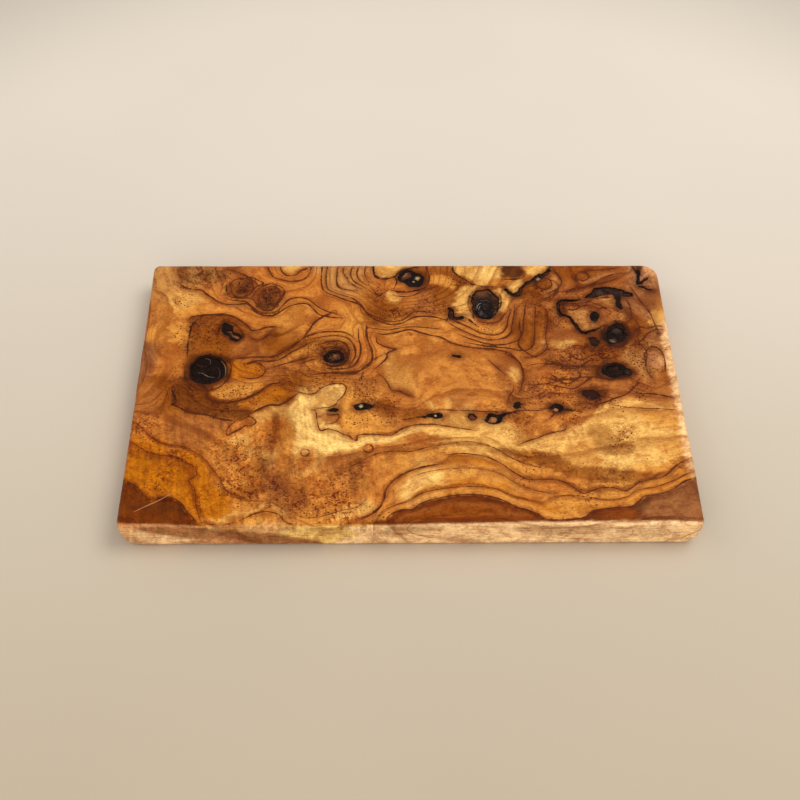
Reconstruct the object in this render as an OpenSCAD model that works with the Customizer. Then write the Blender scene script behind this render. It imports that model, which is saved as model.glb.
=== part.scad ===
// Cutting board sawn from one slab of olive burl. Its dead knots, bark pockets and cracks are
// separate pieces bedded in dark resin, each in a pocket of its own.
// Origin: middle of the underside. +X runs along the length, +Y to the back, +Z up.

/* [Board] */
// Length of the board, left to right
board_l = 320; // [280:5:400]
// Width of the board, front to back
board_w = 200; // [175:5:250]
// Thickness of the board
board_t = 19; // [16:0.5:30]

/* [Edges] */
// Radius of the round-over along the whole top edge
top_round = 3; // [1:0.5:3.5]
// Radius of the three sharp corners, seen from above
corner_r = 4; // [4:0.5:12]
// Radius of the worn corner at the back right, seen from above
worn_corner_r = 10; // [5:1:16]
// Largest radius under the two ends, where fingers lift the board
end_undercut = 15; // [4:0.5:20]
// Radius of the eased edge under the front and the back
bottom_ease = 2; // [0.5:0.5:4]

/* [Pockets] */
// Size of every pocket against its usual size
pocket_scale = 1; // [0.7:0.05:1.1]
// Depth of a deep pocket that stops inside the wood
deep = 11; // [8:0.5:12]
// Depth of a shallow pocket
shallow = 5; // [3:0.5:7]
// Roughness of the pocket walls against the usual roughness
wall_roughness = 1; // [0:0.1:1.3]

/* [Fills] */
// How far the resin stands below the wood around it
resin_dip = 0.4; // [0.1:0.1:1]
// How far the bark and the dead knots stand below the wood
bark_dip = 0.7; // [0.2:0.1:1.5]
// How far a fill that goes right through stops above the underside
base_dip = 0.3; // [0.2:0.1:1]
// Thickness of resin left under a knot in a blind pocket
resin_bed = 1.5; // [1:0.5:3]

/* [Hidden] */

$fn = 64;
clear = 1;
walls = 28;
drawn_l = 320;
drawn_w = 200;
stretch = [board_l / drawn_l, board_w / drawn_w];
end_r = min(end_undercut, board_t - top_round - 1);

// A lobe is [centre x, centre y, half length, half width, turn, roughness, seed] on a board of
// drawn_l by drawn_w. An outline is one lobe or several that run together.
LEFT_VOID = [[-119, 11.5, 11.2, 11.6, 0, 0.02, 1]];
LEFT_CORE = [[-119.2, 12, 9.6, 10, 10, 0.035, 2]];
PEANUT_VOID = [[-109.8, 43.8, 5.4, 3.5, 110, 0.05, 3], [-104.6, 37.8, 4.6, 3.3, 150, 0.06, 4]];
PEANUT_CORE = [[-107, 40.8, 4.4, 1.8, 130, 0.06, 5], [-103.8, 37.6, 2.4, 1.7, 150, 0.05, 6]];
EYE_VOID = [[-44.6, 21.4, 6.2, 5.6, 20, 0.05, 7]];
EYE_CORE = [[-44.2, 21.8, 4.2, 3.8, 60, 0.07, 8]];
BACK_VOID = [[4.2, 86, 7, 7, 60, 0.03, 9], [-0.5, 89, 6.6, 4.3, 40, 0.04, 10]];
BACK_CORE = [[0.2, 89.4, 4.8, 2.7, 42, 0.06, 11]];
ROUND_VOID = [[48.6, 64.6, 8.6, 13.6, -6, 0.03, 12]];
ROUND_CORE = [[47.8, 61.6, 5.7, 8.4, -8, 0.035, 13]];
PIN_VOID = [[115.6, 54, 3.3, 4.7, -10, 0.05, 14]];
CORNER_VOID = [[126.6, 39.4, 6.6, 9, -22, 0.05, 15]];
CORNER_CORE = [[126.8, 39, 5, 7.2, -22, 0.07, 16]];
THUMB_VOID = [[113, 33.4, 2.9, 4.7, 14, 0.06, 17]];
SIDE_VOID = [[123, 10.4, 8, 5.8, 8, 0.06, 18], [130.4, 8.8, 2.8, 2.6, 0, 0.05, 19]];
SIDE_CORE = [[122.6, 11.4, 5.4, 3.2, 6, 0.08, 20]];
LOW_VOID = [[107, -8.4, 5.4, 3.8, -25, 0.06, 21]];
LEFT_SLIT = [[-28.4, -17.4, 4.4, 2.6, 4, 0.06, 22], [-23.6, -16.8, 3.2, 2, 10, 0.06, 23]];
SHORT_SLIT = [[-44, -19.7, 3.5, 1.3, 3, 0.05, 24]];
MIDDLE_SLIT = [[15.8, -24, 4, 2.2, 0, 0.05, 25], [10.8, -24.6, 4.4, 1.2, 6, 0.05, 26]];
RED_VOID = [[36.6, -25.6, 2.8, 2.4, -20, 0.06, 27]];
FRONT_VOID = [[48.6, -26.6, 5.2, 4, 10, 0.04, 28], [54.6, -23.6, 3.2, 1.1, 22, 0.05, 29]];
FRONT_CORE = [[48.2, -26.9, 3.6, 2.5, 8, 0.06, 30]];
BEAD_VOID = [[62.8, -16.6, 2.5, 2, 25, 0.05, 31]];
FORK_VOID = [[86, -18.6, 4.2, 3, -18, 0.05, 32]];
FORK_CORE = [[85.2, -19.2, 2.6, 1.8, -10, 0.06, 33]];
HONEY_SLIT = [[29, 21.5, 3.8, 1.2, -8, 0.05, 34]];

// A seam is a list of [x, y, half width] along its middle line.
POCKET_SEAM = [[26.4, 62, 0.8], [26.8, 58, 1.5], [26.6, 54, 1.7], [30, 52.2, 1.5], [35, 53.6, 1]];
BACK_SEAM = [
    [91.6, 95, 1.7], [88, 91, 1.4], [83.4, 87.6, 2.1], [79, 84, 1.5], [74.6, 82, 1.1],
    [72, 78, 1.1], [69.4, 73, 1.7], [66.2, 72.2, 1.4], [63.4, 76, 0.9], [60.6, 78.4, 0.7]
];
RIGHT_SEAM = [
    [111, 69.4, 0.8], [115, 71.8, 1.9], [119.4, 74.8, 3.5], [125, 75.8, 3.6], [130.4, 75.6, 3],
    [134.4, 73.8, 2.8], [138.4, 72.8, 2.2], [141.4, 71.6, 0.9]
];
RIGHT_SPUR = [[131.6, 73, 1.9], [131.4, 67, 1.3], [131.8, 62, 1.7], [133.4, 60.4, 0.8]];
LOOP_SEAM = [
    [108.6, 68.6, 0.6], [103, 67.4, 0.8], [97, 67.6, 1], [94, 66, 1.1], [93.8, 60, 0.8],
    [94.6, 54.6, 1], [99.6, 54, 0.9], [102.2, 49, 0.8], [104, 43.6, 1], [106.6, 39.8, 0.8],
    [110.8, 41, 0.9], [115, 42.6, 1.5]
];
CRACKS = [
    [[147.4, 94.6, 1.6], [147.6, 90, 1.2], [146.6, 85, 0.7], [145.4, 81, 0.5]],
    [[146.4, 82.2, 0.6], [150, 84.6, 0.8], [153.4, 87, 0.6]],
    [[145.6, 79.8, 0.4], [150, 79, 0.6], [154.6, 76, 0.5]]
];

// Radius factor of a rough lobe at an angle
function rough_radius(angle, amount, seed) =
    1 + amount * wall_roughness
    * (sin(2 * angle + 70 * seed) + 0.7 * sin(3 * angle + 130 * seed) + 0.5 * sin(5 * angle + 35 * seed));

function turned(p, turn) = [p.x * cos(turn) - p.y * sin(turn), p.x * sin(turn) + p.y * cos(turn)];

function on_board(p) = [p.x * stretch.x, p.y * stretch.y];

function lobe_points(lobe) = [
    for (i = [0 : walls - 1])
        let (angle = i * 360 / walls, r = pocket_scale * rough_radius(angle, lobe[5], lobe[6]))
        on_board([lobe.x, lobe.y]) + turned([lobe[2] * r * cos(angle), lobe[3] * r * sin(angle)], lobe[4])
];

// Sideways direction of a seam at one of its points
function seam_side(seam, i) =
    let (
        before = seam[max(i - 1, 0)],
        after = seam[min(i + 1, len(seam) - 1)],
        run = on_board([after.x - before.x, after.y - before.y])
    )
    [-run.y, run.x] / norm(run);

function seam_edge(seam, i, side) =
    on_board([seam[i].x, seam[i].y]) + side * pocket_scale * seam[i][2] * seam_side(seam, i);

function seam_points(seam) = concat(
    [for (i = [0 : len(seam) - 1]) seam_edge(seam, i, 1)],
    [for (i = [len(seam) - 1 : -1 : 0]) seam_edge(seam, i, -1)]
);

// Solid of an outline made of lobes, from one height to another
module lobes(outline, low, high) {
    for (lobe = outline)
        translate([0, 0, low])
            linear_extrude(high - low)
                polygon(lobe_points(lobe));
}

module seam(line, low, high) {
    translate([0, 0, low])
        linear_extrude(high - low)
            polygon(seam_points(line));
}

// Resin that fills a blind pocket round its knot
module resin_round(outline, core, depth) {
    difference() {
        lobes(outline, board_t - depth, board_t - resin_dip);
        lobes(core, board_t - depth + resin_bed, board_t + clear);
    }
}

module bedded_knot(core, depth) {
    lobes(core, board_t - depth + resin_bed, board_t - bark_dip);
}

// Rectangle with one radius for each corner, which starts at the back right and goes anticlockwise
module plan(inset) {
    half = [board_l / 2 - inset, board_w / 2 - inset];
    radii = [worn_corner_r - inset, corner_r - inset, corner_r - inset, corner_r - inset];
    signs = [[1, 1], [-1, 1], [-1, -1], [1, -1]];
    difference() {
        square(2 * half, center = true);
        for (i = [0 : 3])
            translate([signs[i].x * half.x, signs[i].y * half.y])
                square(2 * radii[i], center = true);
    }
    for (i = [0 : 3])
        translate([signs[i].x * (half.x - radii[i]), signs[i].y * (half.y - radii[i])])
            circle(radii[i]);
}

// Plan outline at full height with the round-over along its top edge
module rounded_top() {
    edge_z = board_t - top_round;
    linear_extrude(edge_z)
        plan(0);
    linear_extrude(board_t)
        plan(top_round);
    long_mid = (corner_r - worn_corner_r) / 2;
    for (side = [[-1, board_l - 2 * corner_r, 0], [1, board_l - corner_r - worn_corner_r, long_mid]])
        translate([side[2], side[0] * (board_w / 2 - top_round), edge_z])
            rotate([0, 90, 0])
                cylinder(r = top_round, h = side[1], center = true);
    for (side = [[-1, board_w - 2 * corner_r, 0], [1, board_w - corner_r - worn_corner_r, long_mid]])
        translate([side[0] * (board_l / 2 - top_round), side[2], edge_z])
            rotate([90, 0, 0])
                cylinder(r = top_round, h = side[1], center = true);
    for (corner = [[1, 1, worn_corner_r], [-1, 1, corner_r], [-1, -1, corner_r], [1, -1, corner_r]])
        translate([
            corner[0] * (board_l / 2 - corner[2]),
            corner[1] * (board_w / 2 - corner[2]),
            edge_z
        ])
            rotate_extrude()
                intersection() {
                    translate([corner[2] - top_round, 0])
                        circle(top_round);
                    translate([0, -top_round])
                        square([corner[2], 2 * top_round]);
                }
}

// Cross-section of the board, whose lower corners are round
module section(across, radius) {
    difference() {
        translate([-across / 2, 0])
            square([across, board_t]);
        for (side = [-1, 1])
            translate([side * across / 2, 0])
                square(2 * radius, center = true);
    }
    for (side = [-1, 1])
        intersection() {
            translate([side * (across / 2 - radius), radius])
                circle(radius);
            translate([side * (across / 2 - radius / 2), radius / 2])
                square(radius, center = true);
        }
}

module blank() {
    intersection() {
        rounded_top();
        rotate([90, 0, 0])
            linear_extrude(board_w + 2 * clear, center = true)
                section(board_l, end_r);
        rotate([90, 0, 90])
            linear_extrude(board_l + 2 * clear, center = true)
                section(board_w, bottom_ease);
    }
}

module through_pockets() {
    for (outline = [LEFT_VOID, ROUND_VOID])
        lobes(outline, -clear, board_t + clear);
}

module deep_pockets() {
    for (outline = [BACK_VOID, CORNER_VOID, SIDE_VOID, PEANUT_VOID])
        lobes(outline, board_t - deep, board_t + clear);
}

module shallow_pockets() {
    for (outline = [
        EYE_VOID, PIN_VOID, THUMB_VOID, LOW_VOID, LEFT_SLIT, SHORT_SLIT, MIDDLE_SLIT,
        RED_VOID, FRONT_VOID, BEAD_VOID, FORK_VOID, HONEY_SLIT
    ])
        lobes(outline, board_t - shallow, board_t + clear);
}

module seam_pockets() {
    for (line = concat([POCKET_SEAM, BACK_SEAM, RIGHT_SEAM, RIGHT_SPUR, LOOP_SEAM], CRACKS))
        seam(line, board_t - shallow, board_t + clear);
}

module board_slab() {
    color("peru")
        difference() {
            blank();
            through_pockets();
            deep_pockets();
            shallow_pockets();
            seam_pockets();
        }
}

module left_knot() {
    color("#1d1310")
        lobes(LEFT_CORE, base_dip, board_t - bark_dip);
}

module left_knot_resin() {
    color("#0c0806")
        difference() {
            lobes(LEFT_VOID, base_dip, board_t - resin_dip);
            lobes(LEFT_CORE, -clear, board_t + clear);
        }
}

module peanut_knot() {
    color("#6b3a2a")
        bedded_knot(PEANUT_CORE, deep);
}

module peanut_knot_resin() {
    color("#0c0806")
        resin_round(PEANUT_VOID, PEANUT_CORE, deep);
}

module eye_knot() {
    color("#2c1810")
        bedded_knot(EYE_CORE, shallow);
}

module eye_knot_resin() {
    color("#0c0806")
        resin_round(EYE_VOID, EYE_CORE, shallow);
}

module back_knot() {
    color("#5a3323")
        bedded_knot(BACK_CORE, deep);
}

module back_knot_resin() {
    color("#0c0806")
        resin_round(BACK_VOID, BACK_CORE, deep);
}

module round_knot_bark() {
    color("#3a2117")
        difference() {
            lobes(ROUND_VOID, base_dip, board_t - bark_dip);
            lobes(ROUND_CORE, -clear, board_t + clear);
        }
}

module round_knot_resin() {
    color("#0c0806")
        lobes(ROUND_CORE, base_dip, board_t - resin_dip);
}

module pocket_bark() {
    color("#2c1810")
        seam(POCKET_SEAM, board_t - shallow, board_t - bark_dip);
}

module back_seam_bark() {
    color("#2c1810")
        seam(BACK_SEAM, board_t - shallow, board_t - bark_dip);
}

// Bark of the thick seam at the right; the resin runs on from it into the spur
module right_seam_bark() {
    color("#1d1310")
        seam(RIGHT_SEAM, board_t - shallow, board_t - bark_dip);
}

module right_seam_resin() {
    color("#0c0806")
        difference() {
            seam(RIGHT_SPUR, board_t - shallow, board_t - resin_dip);
            seam(RIGHT_SEAM, board_t - shallow - clear, board_t + clear);
        }
}

module loop_bark() {
    color("#2c1810")
        seam(LOOP_SEAM, board_t - shallow, board_t - bark_dip);
}

module pin_knot_resin() {
    color("#0c0806")
        lobes(PIN_VOID, board_t - shallow, board_t - resin_dip);
}

module corner_knot() {
    color("#2b2119")
        bedded_knot(CORNER_CORE, deep);
}

module corner_knot_resin() {
    color("#0c0806")
        resin_round(CORNER_VOID, CORNER_CORE, deep);
}

module thumb_knot_resin() {
    color("#0c0806")
        lobes(THUMB_VOID, board_t - shallow, board_t - resin_dip);
}

module side_knot() {
    color("#241712")
        bedded_knot(SIDE_CORE, deep);
}

module side_knot_resin() {
    color("#0c0806")
        resin_round(SIDE_VOID, SIDE_CORE, deep);
}

module low_knot_resin() {
    color("#1c0d0a")
        lobes(LOW_VOID, board_t - shallow, board_t - resin_dip);
}

module left_slit_resin() {
    color("#0c0806")
        lobes(LEFT_SLIT, board_t - shallow, board_t - resin_dip);
}

module short_slit_resin() {
    color("#0c0806")
        lobes(SHORT_SLIT, board_t - shallow, board_t - resin_dip);
}

module middle_slit_resin() {
    color("#0c0806")
        lobes(MIDDLE_SLIT, board_t - shallow, board_t - resin_dip);
}

module red_knot() {
    color("#4a1f12")
        lobes(RED_VOID, board_t - shallow, board_t - bark_dip);
}

module front_knot() {
    color("#7a4a3a")
        bedded_knot(FRONT_CORE, shallow);
}

module front_knot_resin() {
    color("#0c0806")
        resin_round(FRONT_VOID, FRONT_CORE, shallow);
}

module bead_knot_resin() {
    color("#0c0806")
        lobes(BEAD_VOID, board_t - shallow, board_t - resin_dip);
}

module fork_knot() {
    color("#7a4a3a")
        bedded_knot(FORK_CORE, shallow);
}

module fork_knot_resin() {
    color("#0c0806")
        resin_round(FORK_VOID, FORK_CORE, shallow);
}

module honey_slit_resin() {
    color("#1c0d0a")
        lobes(HONEY_SLIT, board_t - shallow, board_t - resin_dip);
}

module corner_crack_resin() {
    color("#0c0806")
        for (line = CRACKS)
            seam(line, board_t - shallow, board_t - resin_dip);
}

board_slab();
left_knot();
left_knot_resin();
peanut_knot();
peanut_knot_resin();
eye_knot();
eye_knot_resin();
back_knot();
back_knot_resin();
round_knot_bark();
round_knot_resin();
pocket_bark();
back_seam_bark();
right_seam_bark();
right_seam_resin();
loop_bark();
pin_knot_resin();
corner_knot();
corner_knot_resin();
thumb_knot_resin();
side_knot();
side_knot_resin();
low_knot_resin();
left_slit_resin();
short_slit_resin();
middle_slit_resin();
red_knot();
front_knot();
front_knot_resin();
bead_knot_resin();
fork_knot();
fork_knot_resin();
honey_slit_resin();
corner_crack_resin();
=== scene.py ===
"""Cutting board of olive burl, with dead knots, bark pockets and cracks bedded in dark resin.

The wood's figure is drawn as curves and patches of colour in millimetres, measured from the
middle of the top face. The board's mesh carries it in attributes, and the node materials add
the rings, fibres, pores and small eyes. Every knot, bark pocket and pool of resin is a piece of
its own, cut to the outline of its CAD node.
"""

import math

import bmesh
import bpy
import numpy as np
from mathutils import Matrix, Vector
from mathutils.geometry import delaunay_2d_cdt
from mathutils.kdtree import KDTree


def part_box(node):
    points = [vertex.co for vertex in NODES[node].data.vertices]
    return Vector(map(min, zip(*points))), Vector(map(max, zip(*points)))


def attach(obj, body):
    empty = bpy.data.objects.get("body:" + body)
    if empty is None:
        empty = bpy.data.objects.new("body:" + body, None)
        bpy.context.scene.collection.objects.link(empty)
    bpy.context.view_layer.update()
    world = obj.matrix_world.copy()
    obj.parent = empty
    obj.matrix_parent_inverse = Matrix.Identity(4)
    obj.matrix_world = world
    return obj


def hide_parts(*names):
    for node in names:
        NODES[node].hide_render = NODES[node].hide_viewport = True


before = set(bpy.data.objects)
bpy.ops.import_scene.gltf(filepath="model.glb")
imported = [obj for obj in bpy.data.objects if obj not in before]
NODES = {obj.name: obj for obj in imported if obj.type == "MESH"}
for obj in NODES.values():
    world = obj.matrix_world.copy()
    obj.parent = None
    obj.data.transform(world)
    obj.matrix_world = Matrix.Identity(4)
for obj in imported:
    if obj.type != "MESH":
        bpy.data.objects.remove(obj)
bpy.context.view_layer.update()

MM = 0.001                  # metres in a millimetre, which every other length here is in
FAR_CORNER = np.array(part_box("board_slab")[1]) / MM
THICK = FAR_CORNER[2]       # thickness of the board
HALF = FAR_CORNER[:2]       # half its length and half its width

CORNER = 4                  # radius of three corners, seen from above
WORN_CORNER = 10            # radius of the corner at the back right
LEAST_CORNER = 1.2          # corners are eased at least this much
TOP_STEP = 1.15             # spacing of the mesh on the top face
BASE_STEP = 2.6             # spacing of the mesh on the underside
SIDE_STEP = 1.35            # spacing of the mesh round the sides
WALL_STEP = 0.7             # spacing of the mesh round the pockets
FILL_STEP = 0.42            # spacing of the mesh on the knots, bark and resin
FIT = 0.03                  # gap between a fill and its pocket
SUNK = 0.05                 # a fill stays at least this much below each face of the board
THROUGH = 1                 # a fill whose low end is under this height goes right through
LIP = 0.12                  # width and depth of the eased rim of a pocket
EXACT = 0.01                # heights closer than this are the same
TONE_SPREAD = 10            # how far a tone reaches before the next one takes over
OIL = (1.03, 1.0, 0.76)     # how oil deepens the wood's red, green and blue


# ---------------------------------------------------------------------------------------------
# Curves and fields, in millimetres
# ---------------------------------------------------------------------------------------------
FIELD_X, FIELD_Y = 184, 122  # half size of the sheet on which the figure is drawn


def spline(points, step=1.5, closed=False):
    """A smooth curve through points given as "x y, x y", as a dense line."""
    p = np.array([pair.split() for pair in points.split(",")], float)
    if closed:
        q = np.vstack([p[-1:], p, p[:2]])
    else:
        q = np.vstack([2 * p[0] - p[1], p, 2 * p[-1] - p[-2]])
    out = []
    for a, b, c, d in zip(q[:-3], q[1:-2], q[2:-1], q[3:]):
        count = max(int(np.hypot(*(c - b)) / step), 1)
        t = np.linspace(0, 1, count, endpoint=False)[:, None]
        out.append(0.5 * (2 * b + (c - a) * t + (2 * a - 5 * b + 4 * c - d) * t ** 2
                          + (3 * b - a - 3 * c + d) * t ** 3))
    if not closed:
        out.append(p[-1:])
    return np.vstack(out)


def waves(x, y, scale, seed, count=14):
    """Smooth irregular field with values near -1 to 1 and features about scale across."""
    rng = np.random.RandomState(seed)
    total = np.zeros(np.shape(x))
    for _ in range(count):
        angle = rng.uniform(0, 2 * np.pi)
        wave = 2 * np.pi / (scale * rng.uniform(0.6, 1.9))
        phase = rng.uniform(0, 2 * np.pi)
        total += np.sin(wave * (x * np.cos(angle) + y * np.sin(angle)) + phase)
    return total / math.sqrt(count)


def inside(points, loop):
    """Which points lie inside a closed loop."""
    x, y = points[:, 0], points[:, 1]
    result = np.zeros(len(points), bool)
    low, high = loop.min(0), loop.max(0)
    near = np.flatnonzero((x > low[0]) & (x < high[0]) & (y > low[1]) & (y < high[1]))
    x, y = x[near], y[near]
    odd = np.zeros(len(near), bool)
    for a, b in zip(loop, np.roll(loop, -1, axis=0)):
        if a[1] != b[1]:
            cross = (y > min(a[1], b[1])) & (y <= max(a[1], b[1]))
            odd ^= cross & (x < a[0] + (y - a[1]) * (b[0] - a[0]) / (b[1] - a[1]))
    result[near] = odd
    return result


class Sheet:
    """A field of one value or colour on a regular grid, which can be read at any point."""

    def __init__(self, value, step=1.0):
        self.step = step
        self.xs = np.arange(-FIELD_X, FIELD_X + step / 2, step)
        self.ys = np.arange(-FIELD_Y, FIELD_Y + step / 2, step)
        self.x, self.y = np.meshgrid(self.xs, self.ys)
        self.value = np.full(self.x.shape + np.shape(value), value, float)

    def window(self, low, high):
        """Slices of the grid between two corners."""
        i = np.searchsorted(self.xs, [low[0], high[0]])
        j = np.searchsorted(self.ys, [low[1], high[1]])
        return slice(j[0], j[1]), slice(i[0], i[1])

    def read(self, x, y):
        """The field at any points, between its grid points."""
        u = np.clip((x - self.xs[0]) / self.step, 0, len(self.xs) - 1.001)
        v = np.clip((y - self.ys[0]) / self.step, 0, len(self.ys) - 1.001)
        i, j = u.astype(int), v.astype(int)
        u, v = u - i, v - j
        if self.value.ndim == 3:
            u, v = u[:, None], v[:, None]
        low = self.value[j, i] * (1 - u) + self.value[j, i + 1] * u
        high = self.value[j + 1, i] * (1 - u) + self.value[j + 1, i + 1] * u
        return low * (1 - v) + high * v


def gap_to(points, others):
    """Distance from each point to the nearest of the others, and which one that is."""
    tree = KDTree(len(others))
    for i, (x, y) in enumerate(others):
        tree.insert((x, y, 0), i)
    tree.balance()
    found = [tree.find((x, y, 0)) for x, y in points]
    return np.array([distance for _, _, distance in found]), np.array([i for _, i, _ in found])


def linear(colour):
    """A colour from 0 to 255, as seen, turned into light."""
    c = np.array(colour, float) / 255
    return np.where(c <= 0.04045, c / 12.92, ((c + 0.055) / 1.055) ** 2.4)
# ---------------------------------------------------------------------------------------------
# The figure of the wood, drawn in millimetres from the middle of the top face
# ---------------------------------------------------------------------------------------------
# An outline or a path is written as the x and y of its points: "x y, x y".

# Colours as they look on the oiled wood in soft daylight, 0 to 255
INK = {
    "cream": (244, 200, 128), "pale": (234, 180, 106), "gold": (212, 142, 66), "honey": (203, 129, 60),
    "orange": (196, 119, 52), "amber": (190, 109, 6), "tan": (192, 134, 78), "rust": (170, 101, 48),
    "brown": (144, 76, 10), "umber": (112, 56, 5), "plum": (112, 50, 2), "heart": (142, 70, 8),
    "rose": (160, 102, 62), "mauve": (146, 88, 54), "shade": (84, 42, 8), "ash": (160, 108, 62),
    # the pink of the end grain, lightened with painted light for the faces that catch the light
    "lit_blush": (255, 212, 172), "clay": (214, 154, 112),
}

# Broad tones: x, y, colour. Every place takes the tones nearest to it.
TONES = [
    (-165, 105, "tan"), (-150, 86, "tan"), (-156, 60, "rust"), (-140, 62, "gold"), (-146, 42, "gold"),
    (-158, 20, "mauve"), (-147, 18, "orange"), (-142, -5, "brown"), (-158, -14, "rust"),
    (-152, -32, "orange"), (-130, -38, "rust"), (-112, -30, "rust"), (-150, -52, "amber"),
    (-140, -66, "amber"), (-126, -62, "amber"), (-115, 92, "rust"), (-88, 90, "orange"),
    (-60, 80, "orange"), (-90, 70, "rust"), (-70, 55, "gold"), (-95, 52, "orange"), (-120, 62, "honey"),
    (-45, 88, "tan"), (-46, 60, "orange"), (-60, 45, "honey"), (-115, 32, "brown"), (-95, 28, "rust"),
    (-84, 32, "brown"), (-66, 30, "brown"), (-70, 12, "rust"), (-48, 5, "honey"), (-90, 8, "rust"),
    (-72, -6, "brown"), (-120, -8, "brown"), (-35, 45, "gold"), (-25, 30, "orange"),
    (-22, 12, "orange"), (-30, 9, "rust"), (-9, 11, "pale"), (-28, -8, "gold"), (-32, -26, "gold"),
    (-10, 70, "orange"), (-14, 59, "brown"), (-7, 46, "gold"), (10, 62, "rust"), (12, 50, "gold"),
    (22, 76, "brown"), (0, 36, "honey"), (-6, 12, "gold"), (12, 20, "honey"), (40, 20, "honey"),
    (15, 0, "honey"), (40, 0, "honey"), (55, 10, "rust"), (-4, -14, "rust"), (15, -12, "honey"),
    (46, -12, "honey"), (30, 34, "honey"), (50, 32, "honey"), (70, 60, "rust"), (80, 52, "brown"),
    (72, 40, "brown"), (78, 75, "brown"), (95, 60, "rust"), (110, 90, "brown"), (130, 88, "rust"),
    (105, 76, "rust"), (145, 62, "rose"), (150, 80, "rose"), (148, 92, "clay"), (140, 45, "brown"),
    (152, 45, "rose"), (148, 20, "tan"), (120, 26, "brown"), (100, 12, "rust"), (88, 40, "rust"),
    (84, 4, "orange"), (108, -8, "rust"), (148, 0, "rust"), (128, -3, "rust"), (80, -12, "rust"),
    (68, -8, "rust"), (92, -24, "orange"), (70, -28, "honey"), (30, -12, "rust"), (30, -27, "pale"),
    (50, -40, "pale"), (130, -32, "pale"), (95, -42, "pale"), (150, -44, "gold"), (118, -57, "pale"),
    (-60, -20, "cream"), (-48, -42, "cream"), (-95, -34, "orange"), (-84, -38, "orange"),
    (-62, -58, "honey"), (-105, -50, "honey"), (-95, -66, "orange"), (-84, -52, "pale"),
    (-72, -82, "rust"), (-50, -70, "orange"), (-36, -60, "rust"), (-20, -50, "honey"),
    (-30, -69, "rust"), (-70, -66, "honey"), (-48, -86, "orange"), (-30, -82, "orange"),
    (-52, -94, "gold"), (-105, -88, "amber"), (-90, -92, "gold"), (-118, -76, "amber"),
    (-78, -92, "orange"), (-5, -50, "gold"), (5, -41, "orange"), (25, -46, "pale"), (20, -54, "gold"),
    (42, -48, "pale"), (60, -60, "gold"), (10, -72, "pale"), (40, -70, "gold"), (25, -76, "gold"),
    (80, -74, "orange"), (85, -88, "gold"), (110, -82, "gold"), (130, -75, "gold"), (150, -70, "gold"),
    # the front face and the right end, their lighter tones partly painted light where light falls on them
    (-140, -110, "clay"), (-80, -108, "clay"), (30, -108, "cream"), (-80, -101, "pale"),
    (120, -108, "lit_blush"), (166, 0, "tan"), (166, -60, "gold"), (166, 60, "gold"),
]

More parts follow.
